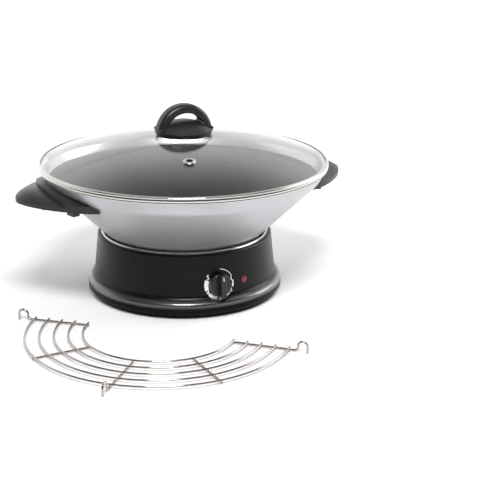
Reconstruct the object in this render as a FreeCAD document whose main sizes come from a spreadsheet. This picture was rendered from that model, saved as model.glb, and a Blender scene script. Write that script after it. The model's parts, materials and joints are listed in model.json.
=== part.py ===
"""Electric wok: heated base, lift-out wok pan, domed glass lid and a half-round draining rack.

The model's origin is on the table at the axis of the wok. +Z is up, the control knob is at the
front (-Y) and the two side handles lie along X. Lengths are in millimetres, angles in degrees.
"""

import FreeCAD, Part
import math
import os
import re
import Sketcher

SIZES = {
    # Gaps between pieces.
    "seat_gap": 0.3,
    "fit_gap": 0.1,
    "running_gap": 0.05,
    "cut_margin": 1.0,
    # Base shell: a tapered wall that flares into a rounded foot.
    "base_height": 77.4,
    "shell_land": 4.3,
    "base_top_round": 2.2,
    "shell_wall": 2.6,
    "wall_taper": 5.3,
    "wall_foot_height": 24.6,
    "wall_foot_round": 6.0,
    "foot_flare": 8.1,
    "foot_draft": 0.5,
    "foot_shoulder_height": 19.6,
    "foot_shoulder_round": 4.2,
    "parting_height": 12.2,
    "parting_round": 0.5,
    "shell_lip_depth": 4.0,
    # Trim ring round the mouth of the base.
    "ring_clearance": 2.97,
    "ring_flange": 4.0,
    "ring_sheet": 0.9,
    "ring_skirt": 9.0,
    "ring_bead_width": 3.3,
    "ring_bead_height": 2.8,
    "ring_bead_round": 1.6,
    # Base plate, feet and the screws that hold the plate to the shell.
    "plate_lift": 1.2,
    "plate_wall": 2.4,
    "plinth_step": 4.5,
    "plinth_height": 6.4,
    "rim_bottom_round": 2.2,
    "lip_height": 3.0,
    "lip_wall": 1.6,
    "post_radius": 4.6,
    "post_inset": 10.0,
    "post_top": 36.0,
    "screw_radius": 1.6,
    "screw_length": 16.0,
    "screw_head_radius": 3.4,
    "screw_head_depth": 1.4,
    "screw_count": 4,
    "foot_pad_radius": 8.0,
    "foot_pad_inset": 26.2,
    "foot_pad_seat": 1.2,
    "slot_count": 12,
    "slot_width": 4.0,
    "slot_start": 52.0,
    "slot_end": 74.0,
    # Heating: hot plate on studs, cast-in element and the dished heat shield.
    "hot_plate_inset": 16.6,
    "hot_plate_thickness": 6.0,
    "hot_plate_round": 1.5,
    "element_inset": 12.0,
    "element_tube_radius": 3.2,
    "element_opening": 30.0,
    "element_pin_angle": 3.0,
    "element_pin_radius": 1.8,
    "element_pin_length": 14.0,
    "shield_sheet": 0.8,
    "shield_floor_height": 30.0,
    "shield_margin": 12.0,
    "shield_hole_inset": 6.0,
    "shield_bend_height": 66.0,
    "stud_radius": 3.0,
    "stud_circle": 22.0,
    "stud_count": 3,
    # Thermostat, knob and lamp on the front wall.
    "control_height": 40.0,
    "dial_land_radius": 21.5,
    "dial_land_lift": 0.2,
    "dial_land_backing": 1.2,
    "drill_reach": 5.2,
    "thermostat_width": 30.0,
    "thermostat_height": 20.0,
    "thermostat_depth": 12.0,
    "bush_radius": 4.5,
    "nut_radius": 7.0,
    "nut_thickness": 2.4,
    "shaft_radius": 3.0,
    "shaft_flat": 1.0,
    "shaft_grip": 4.0,
    "knob_radius": 13.8,
    "knob_depth": 16.0,
    "knob_shoulder": 7.5,
    "knob_shoulder_round": 1.4,
    "knob_rib_count": 24,
    "knob_rib_groove": 0.7,
    "knob_rib_bite": 0.3,
    "grip_width": 7.0,
    "grip_round": 1.2,
    "knob_lift": 0.8,
    "knob_wall": 2.0,
    "lamp_angle": 18.0,
    "lamp_radius": 4.0,
    "lamp_neck_radius": 3.3,
    "lamp_stand": 1.0,
    "lamp_holder_radius": 5.0,
    "lamp_holder_length": 12.0,
    # Supply: gland at the rear and the terminal block.
    "gland_bore_radius": 3.6,
    "gland_neck_radius": 6.4,
    "gland_flange_radius": 9.0,
    "gland_flange_thickness": 2.2,
    "gland_flange_round": 0.8,
    "gland_length": 14.0,
    "gland_nut_radius": 9.5,
    "gland_nut_thickness": 3.0,
    "block_width": 34.0,
    "block_depth": 16.0,
    "block_height": 12.0,
    "block_inset": 30.2,
    "block_hole_radius": 1.8,
    "block_ways": 3,
    # Wok pan: flat bottom, sloping wall and an almost upright collar under a rolled lip.
    "pan_bottom_height": 47.0,
    "pan_bottom_radius": 66.6,
    "pan_bottom_round": 30.0,
    "pan_shoulder_radius": 170.2,
    "pan_wall_height": 100.2,
    "pan_shoulder_round": 36.0,
    "pan_collar_flare": 7.8,
    "pan_collar_height": 15.2,
    "pan_wall": 2.4,
    "pan_lip_reach": 1.0,
    "pan_lip_depth": 1.8,
    "pan_lip_round": 0.7,
    # Side handles: arched wings that close round the pan's wall.
    "handle_drop": 27.0,
    "handle_edge": 5.2,
    "wing_tip_offset": 35.4,
    "wing_tip_half": 4.0,
    "wing_tip_rise": 0.3,
    "wing_nose_offset": 31.5,
    "wing_nose_half": 15.5,
    "wing_nose_rise": 2.3,
    "wing_shoulder_offset": 25.0,
    "wing_shoulder_half": 28.0,
    "wing_shoulder_rise": 5.8,
    "wing_middle_offset": 10.0,
    "wing_middle_half": 48.0,
    "wing_middle_rise": 8.0,
    "wing_waist_offset": -18.0,
    "wing_waist_half": 74.0,
    "wing_waist_rise": 11.0,
    "wing_root_offset": -41.0,
    "wing_root_half": 86.0,
    "wing_root_rise": 12.5,
    "collar_reach": 2.8,
    "collar_step": 3.5,
    "trough_start": 7.0,
    "trough_sweep": 22.0,
    "trough_floor_rise": 4.6,
    "trough_width": 4.0,
    "trough_mouth_inset": 0.5,
    "lug_length": 13.0,
    "lug_width": 9.0,
    "lug_drop": 8.0,
    "lug_inset": 10.0,
    "lug_angle": 18.5,
    "nub_length": 7.0,
    "nub_width": 5.0,
    "nub_drop": 3.8,
    "nub_overhang": 12.0,
    "nub_angle": 9.0,
    "bracket_sheet": 2.0,
    "bracket_width": 30.0,
    "bracket_overhang": 8.0,
    "bracket_tab": 16.0,
    "handle_screw_inset": 2.0,
    "handle_screw_radius": 2.0,
    "handle_screw_length": 8.0,
    "handle_screw_head": 4.0,
    "handle_screw_head_depth": 2.2,
    # Glass lid, its rim channel and the steam vent.
    "lid_overlap": 2.0,
    "channel_sheet": 0.8,
    "channel_round": 0.8,
    "channel_fold": 3.4,
    "channel_skirt_gap": 0.7,
    "channel_skirt_depth": 5.0,
    "glass_thickness": 3.5,
    "dome_rise": 33.7,
    "vent_reach": 103.0,
    "vent_angle": 17.5,
    "vent_flange_radius": 7.6,
    "vent_flange_thickness": 1.9,
    "vent_flange_round": 1.1,
    "vent_neck_radius": 5.2,
    "vent_bore_radius": 4.0,
    "vent_curl": 1.0,
    # Lid knob: a domed disc with an arched grip over it.
    "disc_radius": 36.0,
    "disc_undercut": 2.5,
    "disc_skirt_depth": 5.6,
    "disc_dome": 12.5,
    "disc_lift": 0.3,
    "disc_hollow": 2.4,
    "disc_wall": 4.0,
    "boss_radius": 9.0,
    "arch_inset": 0.4,
    "arch_sink": 3.4,
    "arch_band": 10.6,
    "arch_width": 20.0,
    "arch_round": 6.0,
    "arch_edge_round": 1.2,
    "pad_length": 15.0,
    "pad_width": 25.0,
    "pad_height": 5.0,
    "pad_inset": 10.0,
    "leg_seam": 2.4,
    "pad_slope": 36.0,
    "pad_stand": 1.4,
    "knob_screw_radius": 2.5,
    "knob_screw_reach": 8.0,
    "knob_screw_head": 5.0,
    "knob_screw_head_depth": 2.6,
    "washer_radius": 9.5,
    "washer_thickness": 1.6,
    # Draining rack: half-round wires on five radial bars, every second one with a hook.
    "rack_left_distance": 86.3,
    "rack_front_distance": 143.6,
    "rack_angle": -129.8,
    "rack_wire_radius": 1.2,
    "rack_bar_radius": 1.4,
    "rack_bar_height": 2.0,
    "rack_wire_count": 5,
    "rack_bar_count": 5,
    "rack_first_radius": 89.5,
    "rack_wire_pitch": 16.5,
    "rack_bar_pitch": 44.3,
    "rack_overhang": 1.6,
    "rack_bar_tail": 1.5,
    "rack_weld_gap": 0.03,
    "hook_run": 5.5,
    "hook_bend": 4.5,
    "hook_span": 11.0,
    "hook_top_height": 13.2,
}

# Places and sizes that follow from the ones above, each written as an expression.
PLACES = {
    # Wok pan.
    "pan_shoulder_height": "pan_bottom_height + pan_wall_height",
    "pan_rim_height": "pan_shoulder_height + pan_collar_height",
    "pan_rim_radius": "pan_shoulder_radius + pan_collar_flare",
    "pan_slope": "(pan_shoulder_radius - pan_bottom_radius) / pan_wall_height",
    "pan_angle": "atan(1 / pan_slope) / 1 deg",
    "collar_slope": "pan_collar_flare / pan_collar_height",
    "collar_angle": "atan(1 / collar_slope) / 1 deg",
    # Base, outwards from the pan that hangs in its mouth.
    "pan_at_ring": "pan_bottom_radius + (base_height - pan_bottom_height) * pan_slope",
    "ring_inner_radius": "pan_at_ring + ring_clearance",
    "ring_outer_radius": "ring_inner_radius + ring_flange",
    "ring_seat": "base_height - ring_sheet - fit_gap",
    "base_top_radius": "ring_outer_radius + shell_land",
    "wall_foot_radius": "base_top_radius + wall_taper",
    "wall_slope": "wall_taper / (base_height - wall_foot_height)",
    "wall_lean": "atan(wall_slope) / 1 deg",
    "foot_radius": "wall_foot_radius + foot_flare",
    "foot_shoulder_radius": "foot_radius - foot_draft",
    "plinth_radius": "foot_radius - plinth_step",
    "plate_floor": "plate_lift + plate_wall",
    "post_circle": "plinth_radius - post_inset",
    "foot_pad_circle": "plinth_radius - foot_pad_inset",
    "block_offset": "plinth_radius - block_inset",
    # Heating, under the pan's flat bottom.
    "hot_plate_top": "pan_bottom_height - seat_gap",
    "hot_plate_bottom": "hot_plate_top - hot_plate_thickness",
    "hot_plate_radius": "pan_bottom_radius - hot_plate_inset",
    "element_ring_radius": "hot_plate_radius - element_inset",
    "shield_floor_radius": "hot_plate_radius + shield_margin",
    "shield_hole_radius": "hot_plate_radius - shield_hole_inset",
    # Controls.
    "control_radius": "wall_foot_radius - (control_height - wall_foot_height) * wall_slope",
    "knob_hollow_depth": "knob_shoulder - knob_wall",
    "shaft_reach": "knob_lift + knob_shoulder + shaft_grip",
    # Side handles.
    "handle_base_height": "pan_rim_height - handle_drop",
    "collar_radius": "lid_radius + collar_reach",
    "trough_floor_height": "handle_base_height + trough_floor_rise",
    "trough_floor_radius": "pan_bottom_radius + (trough_floor_height - pan_bottom_height) * pan_slope",
    "trough_mouth_radius": "lid_radius - trough_mouth_inset",
    "lug_bottom": "handle_base_height - lug_drop",
    "lug_circle": "pan_rim_radius - lug_inset",
    "nub_bottom": "handle_base_height - nub_drop",
    "nub_circle": "pan_rim_radius + nub_overhang",
    "bracket_reach": "pan_rim_radius + bracket_overhang",
    "handle_screw_reach": "pan_rim_radius - handle_screw_inset",
    # Lid.
    "lid_radius": "pan_rim_radius + lid_overlap",
    "channel_bottom": "pan_rim_height + seat_gap",
    "skirt_bottom": "channel_bottom - channel_skirt_depth",
    "collar_outside": "pan_rim_radius - (pan_rim_height - skirt_bottom) * collar_slope",
    "skirt_radius": "collar_outside - pan_wall / sin(collar_angle) - channel_skirt_gap",
    "glass_edge_radius": "lid_radius - channel_sheet - fit_gap",
    "glass_edge_bottom": "channel_bottom + channel_sheet + fit_gap",
    "glass_edge_top": "glass_edge_bottom + glass_thickness",
    "glass_top": "glass_edge_top + dome_rise",
    "glass_bottom": "glass_top - glass_thickness",
    "dome_radius": "(glass_edge_radius^2 + dome_rise^2) / (2 * dome_rise)",
    "dome_centre": "glass_top - dome_radius",
    "vent_tilt": "asin(vent_reach / dome_radius) / 1 deg",
    # Lid knob.
    "disc_skirt_radius": "disc_radius - disc_undercut",
    "disc_foot": "dome_centre + sqrt(dome_radius^2 - disc_skirt_radius^2) + disc_lift",
    "disc_edge": "disc_foot + disc_skirt_depth",
    "disc_bend": "(disc_radius^2 + disc_dome^2) / (2 * disc_dome)",
    "arch_radius": "disc_radius - arch_inset",
    "arch_inner": "arch_radius - arch_band",
    "arch_middle": "disc_edge - arch_sink",
    "pad_reach": "disc_radius - pad_inset",
    # Draining rack.
    "rack_last_radius": "rack_first_radius + (rack_wire_count - 1) * rack_wire_pitch",
    "rack_bar_start": "rack_first_radius - rack_bar_tail",
    "rack_bar_end": "rack_last_radius + rack_bar_tail",
    "rack_wire_height": "rack_bar_height + rack_bar_radius + rack_wire_radius + rack_weld_gap",
    "hook_foot": "rack_last_radius + hook_run",
}

doc = FreeCAD.newDocument("electric_wok")
sheet = doc.addObject("Spreadsheet::Sheet", "Sizes")
for row, (name, number) in enumerate(SIZES.items(), start=1):
    sheet.set(f"A{row}", name)
    sheet.set(f"B{row}", str(number))
    sheet.setAlias(f"B{row}", name)
doc.recompute()

nodes = []


# --- expressions ----------------------------------------------------------------------------


def named(text):
    """An expression in full: every place is spelled out and every size gets the sheet's name."""

    def spell(found):
        word = found[0]
        if word in PLACES:
            return f"({named(PLACES[word])})"
        return f"Sizes.{word}" if word in SIZES else word

    return re.sub(r"[a-z]\w*", spell, text)


def value(text):
    """The number that an expression gives with the sizes as they are."""
    result = sheet.evalExpression(named(text))
    return float(getattr(result, "Value", result))


def count(name):
    return int(round(value(name)))


def bind(thing, **expressions):
    """Binds properties to expressions; a double underscore stands for a dot."""
    for path, text in expressions.items():
        thing.setExpression(path.replace("__", "."), named(text))
    return thing


def place(thing, x="0", y="0", z="0"):
    """Binds the position of a piece."""
    for axis, text in zip("xyz", (x, y, z)):
        if text != "0":
            thing.setExpression(f"Placement.Base.{axis}", named(text))
    return thing


def place_round(thing, radius, angle, z="0"):
    """Binds the position of a piece that stands at a radius and an angle from the axis."""
    return place(thing, f"{radius} * cos({angle})", f"{radius} * sin({angle})", z)


def turn(thing, axis, angle):
    """Binds the turn of a piece about one of its own axes."""
    thing.Placement.Rotation = FreeCAD.Rotation(axis, value(angle))
    thing.setExpression("Placement.Rotation.Angle", named(angle))
    return thing


X_AXIS = FreeCAD.Vector(1, 0, 0)
Y_AXIS = FreeCAD.Vector(0, 1, 0)
Z_AXIS = FreeCAD.Vector(0, 0, 1)


# --- sketches and bodies --------------------------------------------------------------------


def new_body(name):
    return doc.addObject("PartDesign::Body", name)


def new_sketch(body, role, lift=None):
    """An empty sketch on one of the body's own planes, lifted off it if asked."""
    sketch = body.newObject("Sketcher::SketchObject", body.Name + "_sketch")
    plane = next(item for item in body.Origin.OriginFeatures if item.Role == role)
    sketch.AttachmentSupport = [(plane, "")]
    sketch.MapMode = "FlatFace"
    if lift:
        sketch.setExpression("AttachmentOffset.Base.z", named(lift))
    return sketch


def hold(sketch, line, end, x, y):
    """Holds one end of a line at its distances from the sketch's axes."""
    for kind, text, axis in (("DistanceX", x, -2), ("DistanceY", y, -1)):
        if text == "0":
            sketch.addConstraint(Sketcher.Constraint("PointOnObject", line, end, axis))
        else:
            number = value(text)
            index = sketch.addConstraint(Sketcher.Constraint(kind, -1, 1, line, end, number))
            sketch.setExpression(f"Constraints[{index}]", named(text))


def arc_between(start, finish, radius, side):
    """The short arc from start to finish; side 1 has its centre on the left, side -1 on the right."""
    chord = finish - start
    left = FreeCAD.Vector(-chord.y, chord.x, 0).normalize()
    depth = math.sqrt(max(radius**2 - (chord.Length / 2) ** 2, 0))
    centre = (start + finish) / 2 + left * depth * side
    first, last = (start, finish) if side > 0 else (finish, start)
    angles = [math.atan2(point.y - centre.y, point.x - centre.x) for point in (first, last)]
    return Part.ArcOfCircle(Part.Circle(centre, Z_AXIS, radius), *angles)


def set_radius(sketch, curve, radius):
    """Binds the radius of an arc or a circle."""
    index = sketch.addConstraint(Sketcher.Constraint("Radius", curve, value(radius)))
    sketch.setExpression(f"Constraints[{index}]", named(radius))


def corner_arc(before, corner, after, radius):
    """The arc that rounds a corner between two straight lines, with its two ends in order."""
    back = (before - corner).normalize()
    ahead = (after - corner).normalize()
    half = back.getAngle(ahead) / 2
    first = corner + back * (radius / math.tan(half))
    last = corner + ahead * (radius / math.tan(half))
    centre = corner + (back + ahead).normalize() * (radius / math.sin(half))
    side = 1 if (first - centre).cross(last - centre).z > 0 else -1
    return first, last, side


def meet(sketch, kind, before, after):
    """Joins the end of one stretch of an outline to the start of the next."""
    sketch.addConstraint(Sketcher.Constraint(kind, before[0], before[2], after[0], after[1]))


def outline(sketch, corners, closed=True):
    """Lines and arcs in turn, from corners given as x and y.

    A third value rounds the corner. Where an arc leaves the corner instead, its radius comes
    third and the side of its centre fourth.
    """
    points = [FreeCAD.Vector(value(corner[0]), value(corner[1]), 0) for corner in corners]
    rounds = {}
    for index, corner in enumerate(corners):
        if len(corner) == 3:
            after = points[(index + 1) % len(points)]
            rounds[index] = corner_arc(points[index - 1], points[index], after, value(corner[2]))
    ends = []
    for index, corner in enumerate(corners):
        if index in rounds:
            first, last, side = rounds[index]
            arc = sketch.addGeometry(arc_between(first, last, value(corner[2]), side))
            ends.append((arc, 1, 2) if side > 0 else (arc, 2, 1))
        if not closed and index == len(corners) - 1:
            break
        following = (index + 1) % len(corners)
        start = rounds[index][1] if index in rounds else points[index]
        finish = rounds[following][0] if following in rounds else points[following]
        if len(corner) < 4:
            line = sketch.addGeometry(Part.LineSegment(start, finish))
            ends.append((line, 1, 2))
        else:
            line = sketch.addGeometry(arc_between(start, finish, value(corner[2]), corner[3]))
            ends.append((line, 1, 2) if corner[3] > 0 else (line, 2, 1))
    stretch = -1
    for index, corner in enumerate(corners):
        if index in rounds:
            before, arc, after = ends[stretch], ends[stretch + 1], ends[(stretch + 2) % len(ends)]
            meet(sketch, "Tangent", before, arc)
            meet(sketch, "Tangent", arc, after)
            mark = sketch.addGeometry(Part.Point(points[index]), True)
            sketch.addConstraint(Sketcher.Constraint("PointOnObject", mark, 1, before[0]))
            sketch.addConstraint(Sketcher.Constraint("PointOnObject", mark, 1, after[0]))
            hold(sketch, mark, 1, corner[0], corner[1])
            set_radius(sketch, arc[0], corner[2])
            stretch += 2
            continue
        if index > 0 or closed:
            before = ends[stretch]
        if index == len(corners) - 1 and not closed:
            hold(sketch, before[0], before[2], corner[0], corner[1])
            break
        after = ends[stretch + 1]
        if index > 0 or closed:
            meet(sketch, "Coincident", before, after)
        hold(sketch, after[0], after[1], corner[0], corner[1])
        if len(corner) == 4:
            set_radius(sketch, after[0], corner[2])
        stretch += 1
    return sketch


def circle(sketch, x, y, radius):
    """A circle held by its centre and radius."""
    centre = FreeCAD.Vector(value(x), value(y), 0)
    ring = sketch.addGeometry(Part.Circle(centre, Z_AXIS, value(radius)))
    hold(sketch, ring, 3, x, y)
    set_radius(sketch, ring, radius)
    return sketch


def pad(body, sketch, length, both_sides=False):
    feature = body.newObject("PartDesign::Pad", body.Name + "_pad")
    feature.Profile = sketch
    if both_sides:
        feature.SideType = "Symmetric"
    bind(feature, Length=length)
    return feature


def pocket(body, sketch, length, upward=False):
    """Cuts a sketch's outline downwards, or upwards, and checks that it took something away."""
    before = body.Shape.Volume
    feature = body.newObject("PartDesign::Pocket", body.Name + "_pocket")
    feature.Profile = sketch
    feature.Reversed = upward
    bind(feature, Length=length)
    doc.recompute()
    if body.Shape.Volume >= before:
        raise ValueError(f"{feature.Name} cuts nothing")
    return feature


def repeat(body, feature, sketch, copies):
    """Repeats a feature round the body's Z axis."""
    pattern = body.newObject("PartDesign::PolarPattern", body.Name + "_pattern")
    pattern.Originals = [feature]
    pattern.Axis = (sketch, ["N_Axis"])
    pattern.Angle = 360
    bind(pattern, Occurrences=copies)
    body.Tip = pattern
    return pattern


def turned(name, corners):
    """A body turned about Z from an outline whose corners are given as radius and height."""
    body = new_body(name)
    sketch = outline(new_sketch(body, "XZ_Plane"), corners)
    feature = body.newObject("PartDesign::Revolution", name + "_turned")
    feature.Profile = sketch
    feature.ReferenceAxis = (sketch, ["V_Axis"])
    feature.Angle = 360
    doc.recompute()
    return body


def round_edges(body, radius, chosen):
    """Rounds the edges of the body's last feature that the test picks."""
    doc.recompute()
    base = body.Tip
    names = [f"Edge{index}" for index, edge in enumerate(base.Shape.Edges, 1) if chosen(edge)]
    feature = body.newObject("PartDesign::Fillet", body.Name + "_round")
    feature.Base = (base, names)
    bind(feature, Radius=radius)
    doc.recompute()
    return feature


def same(first, second):
    """Whether two lengths are equal but for rounding errors."""
    return math.isclose(first, second, abs_tol=1e-4)


def at_height(edge, height):
    """Whether an edge lies flat at a height."""
    return same(edge.BoundBox.ZMin, value(height)) and same(edge.BoundBox.ZMax, value(height))


# --- primitives and booleans ----------------------------------------------------------------


def rod(name, radius, length):
    return bind(doc.addObject("Part::Cylinder", name), Radius=radius, Height=length)


def block(name, length, width, height):
    return bind(doc.addObject("Part::Box", name), Length=length, Width=width, Height=height)


def cut(name, base, tool):
    result = doc.addObject("Part::Cut", name)
    result.Base = base
    result.Tool = tool
    return result


def common(name, base, tool):
    result = doc.addObject("Part::Common", name)
    result.Base = base
    result.Tool = tool
    return result


def join(name, *pieces):
    result = doc.addObject("Part::MultiFuse", name)
    result.Shapes = list(pieces)
    return result


def node(thing, label):
    """Marks a finished sub-part."""
    thing.Label = label
    nodes.append(thing)
    return thing


# --- places on the base wall ------------------------------------------------------------------


def on_front_wall(thing, depth="0", angle="0"):
    """Stands a piece on the base's wall at control height, its own Z pointing out of the wall."""
    lean = FreeCAD.Rotation(X_AXIS, 90 - value("wall_lean"))
    thing.Placement.Rotation = FreeCAD.Rotation(Z_AXIS, value(angle)) * lean
    out = f"(control_radius + ({depth}) * cos(wall_lean))"
    up = f"control_height + ({depth}) * sin(wall_lean)"
    return place(thing, f"{out} * sin({angle})", f"-{out} * cos({angle})", up)


def wall_hole(name, radius, angle="0"):
    """A hole through the wall, drilled square to it from outside."""
    return on_front_wall(rod(name, radius, "2 * drill_reach"), "-drill_reach", angle)


# --- base shell: a tapered wall over a flared foot, with a flat round land for the dial ------


def shell_form():
    """The outer form of the shell, solid to the axis."""
    return turned("shell_form", [
        ("0", "parting_height"),
        ("foot_radius", "parting_height", "parting_round"),
        ("foot_shoulder_radius", "foot_shoulder_height", "foot_shoulder_round"),
        ("wall_foot_radius", "wall_foot_height", "wall_foot_round"),
        ("base_top_radius", "base_height", "base_top_round"),
        ("0", "base_height"),
    ])


def shell_hollow():
    """The space inside the shell, up through the mouth where the trim ring sits."""
    lip_bottom = "(ring_seat - shell_lip_depth)"
    lip_radius = "(ring_inner_radius + ring_sheet + fit_gap)"
    wall_at_lip = f"(base_top_radius + (base_height - {lip_bottom}) * wall_slope - shell_wall)"
    return turned("shell_hollow", [
        ("0", "parting_height"),
        ("foot_radius - shell_wall", "parting_height"),
        ("foot_shoulder_radius - shell_wall", "foot_shoulder_height - shell_wall"),
        ("wall_foot_radius - shell_wall", "wall_foot_height"),
        (wall_at_lip, lip_bottom),
        (lip_radius, lip_bottom),
        (lip_radius, "ring_seat"),
        ("ring_outer_radius + fit_gap", "ring_seat"),
        ("ring_outer_radius + fit_gap", "base_height"),
        ("0", "base_height"),
    ])


def corner_angle(index):
    """The direction of one of the screws and feet, which stand between the axes."""
    return f"(({index} + 0.5) * 360 / screw_count)"


def screw_posts():
    """Posts inside the shell that stand on the base plate."""
    posts = []
    for index in range(count("screw_count")):
        post = rod(f"screw_post_{index + 1}", "post_radius", "post_top - plate_floor")
        posts.append(place_round(post, "post_circle", corner_angle(index), "plate_floor"))
    return posts


def shell_holes():
    """Pilot holes in the posts and the openings in the wall."""
    holes = []
    for index in range(count("screw_count")):
        pilot = rod(f"screw_pilot_{index + 1}", "screw_radius + running_gap", "screw_length + seat_gap")
        holes.append(place_round(pilot, "post_circle", corner_angle(index), "plate_lift"))
    holes.append(wall_hole("bush_hole", "bush_radius + fit_gap"))
    holes.append(wall_hole("lamp_hole", "lamp_neck_radius + fit_gap", "lamp_angle"))
    holes.append(wall_hole("gland_hole", "gland_neck_radius + fit_gap", "180"))
    land = rod("dial_land", "dial_land_radius", "foot_radius - base_top_radius")
    holes.append(on_front_wall(land, "dial_land_lift"))
    return holes


def base_shell():
    backing = rod("land_backing", "dial_land_radius + shell_wall", "foot_radius - base_top_radius")
    on_front_wall(backing, "-shell_wall - dial_land_backing")
    hollow = cut("shell_space", shell_hollow(), backing)
    walls = cut("shell_walls", shell_form(), hollow)
    solid = join("shell_solid", walls, *screw_posts())
    return cut("shell_cut", solid, join("shell_holes", *shell_holes()))


# --- base plate, feet and screws ------------------------------------------------------------


def base_plate():
    inner_rim = "(foot_shoulder_radius - shell_wall - fit_gap)"
    body = turned("plate_body", [
        ("0", "plate_lift"),
        ("plinth_radius", "plate_lift"),
        ("plinth_radius", "plinth_height"),
        ("foot_radius", "plinth_height", "rim_bottom_round"),
        ("foot_radius", "parting_height", "parting_round"),
        (inner_rim, "parting_height"),
        (inner_rim, "parting_height + lip_height"),
        (f"{inner_rim} - lip_wall", "parting_height + lip_height"),
        (f"{inner_rim} - lip_wall", "plinth_height + plate_wall"),
        ("plinth_radius - plate_wall", "plinth_height + plate_wall"),
        ("plinth_radius - plate_wall", "plate_floor"),
        ("0", "plate_floor"),
    ])
    slots = new_sketch(body, "XY_Plane", "plate_lift")
    outline(slots, [
        ("slot_start", "-slot_width / 2"),
        ("slot_end", "-slot_width / 2"),
        ("slot_end", "slot_width / 2"),
        ("slot_start", "slot_width / 2"),
    ])
    repeat(body, pocket(body, slots, "plate_wall", upward=True), slots, "slot_count")

    sinks = (
        ("foot_pad_circle", "foot_pad_radius", "foot_pad_seat"),
        ("post_circle", "screw_head_radius", "screw_head_depth"),
        ("post_circle", "screw_radius", "plate_wall"),
    )
    for reach, radius, depth in sinks:
        sink = new_sketch(body, "XY_Plane", "plate_lift")
        across = f"{reach} * cos({corner_angle(0)})"
        circle(sink, across, f"{reach} * sin({corner_angle(0)})", f"{radius} + fit_gap")
        repeat(body, pocket(body, sink, depth, upward=True), sink, "screw_count")
    return body


def rubber_foot(index):
    foot = rod(f"foot_{index + 1}", "foot_pad_radius", "plate_lift + foot_pad_seat")
    return place_round(foot, "foot_pad_circle", corner_angle(index))


def base_screw(index):
    """A pan-head screw that holds the plate to a post."""
    body = turned(f"screw_{index + 1}", [
        ("0", "0"),
        ("screw_head_radius", "0"),
        ("screw_head_radius", "screw_head_depth"),
        ("screw_radius", "screw_head_depth"),
        ("screw_radius", "screw_length"),
        ("0", "screw_length"),
    ])
    return place_round(body, "post_circle", corner_angle(index), "plate_lift")


# --- trim ring, heat shield and hot plate ---------------------------------------------------


def trim_ring():
    """Ring with a rounded bead on the shell's lip, a narrow ledge and a skirt down inside it."""
    top = "(ring_seat + ring_sheet)"
    bead_top = "(ring_seat + ring_bead_height)"
    return turned("ring", [
        ("ring_inner_radius", f"{top} - ring_skirt"),
        ("ring_inner_radius + ring_sheet", f"{top} - ring_skirt"),
        ("ring_inner_radius + ring_sheet", "ring_seat"),
        ("ring_outer_radius", "ring_seat"),
        ("ring_outer_radius", bead_top, "ring_bead_round"),
        ("ring_outer_radius - ring_bead_width", bead_top, "ring_bead_round"),
        ("ring_outer_radius - ring_bead_width", top),
        ("ring_inner_radius", top),
    ])


def heat_shield():
    """Dished sheet under the pan, spot-welded inside the trim ring's skirt."""
    collar = "(ring_inner_radius - fit_gap)"
    top = "(ring_seat - seat_gap)"
    return turned("shield", [
        ("shield_hole_radius", "shield_floor_height"),
        ("shield_floor_radius", "shield_floor_height"),
        (collar, "shield_bend_height"),
        (collar, top),
        (f"{collar} - shield_sheet", top),
        (f"{collar} - shield_sheet", "shield_bend_height + shield_sheet"),
        ("shield_floor_radius - shield_sheet", "shield_floor_height + shield_sheet"),
        ("shield_hole_radius", "shield_floor_height + shield_sheet"),
    ])


def hot_plate():
    return turned("plate_disc", [
        ("0", "hot_plate_bottom"),
        ("hot_plate_radius", "hot_plate_bottom"),
        ("hot_plate_radius", "hot_plate_top", "hot_plate_round"),
        ("0", "hot_plate_top"),
    ])


def heating_element():
    """Open tube ring under the hot plate, its gap at the rear, with a cold pin at each end."""
    middle = "(hot_plate_bottom - fit_gap - element_tube_radius)"
    ring = doc.addObject("Part::Torus", "element_ring")
    bind(ring, Radius1="element_ring_radius", Radius2="element_tube_radius")
    bind(ring, Angle3="360 - element_opening")
    turn(ring, Z_AXIS, "90 + element_opening / 2")
    pieces = [place(ring, z=middle)]
    for side in (-1, 1):
        pin = rod(f"element_pin_{len(pieces)}", "element_pin_radius", "element_pin_length")
        angle = f"(90 + {side} * (element_opening / 2 + element_pin_angle))"
        pieces.append(place_round(pin, "element_ring_radius", angle, f"{middle} - element_pin_length"))
    return join("element", *pieces)


def hot_plate_stud(index):
    stud = rod(f"stud_{index + 1}", "stud_radius", "hot_plate_bottom - plate_floor")
    return place_round(stud, "stud_circle", f"({index} * 360 / stud_count + 90)", "plate_floor")


# --- thermostat, knob and lamp --------------------------------------------------------------


def thermostat():
    """Switch box against the land's back, with a bush through the wall for the shaft."""
    body = new_body("switch_box")
    box_front = "(shell_wall + dial_land_backing + fit_gap)"
    box = new_sketch(body, "XY_Plane", f"-{box_front} - thermostat_depth")
    outline(box, [
        ("-thermostat_width / 2", "-thermostat_height / 2"),
        ("thermostat_width / 2", "-thermostat_height / 2"),
        ("thermostat_width / 2", "thermostat_height / 2"),
        ("-thermostat_width / 2", "thermostat_height / 2"),
    ])
    pad(body, box, "thermostat_depth")
    bush = new_sketch(body, "XY_Plane", f"-{box_front}")
    circle(bush, "0", "0", "bush_radius")
    pad(body, bush, f"{box_front} + fit_gap + nut_thickness")
    doc.recompute()
    bore = new_sketch(body, "XY_Plane", f"-{box_front} - thermostat_depth / 2")
    circle(bore, "0", "0", "shaft_radius + running_gap")
    pocket(body, bore, f"{box_front} + nut_thickness + thermostat_depth", upward=True)
    return on_front_wall(body)


def thermostat_nut():
    nut = doc.addObject("Part::Prism", "nut_blank")
    nut.Polygon = 6
    bind(nut, Circumradius="nut_radius", Height="nut_thickness")
    hole = rod("nut_hole", "bush_radius + running_gap", "nut_thickness")
    return on_front_wall(cut("nut", nut, hole), "fit_gap")


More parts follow.
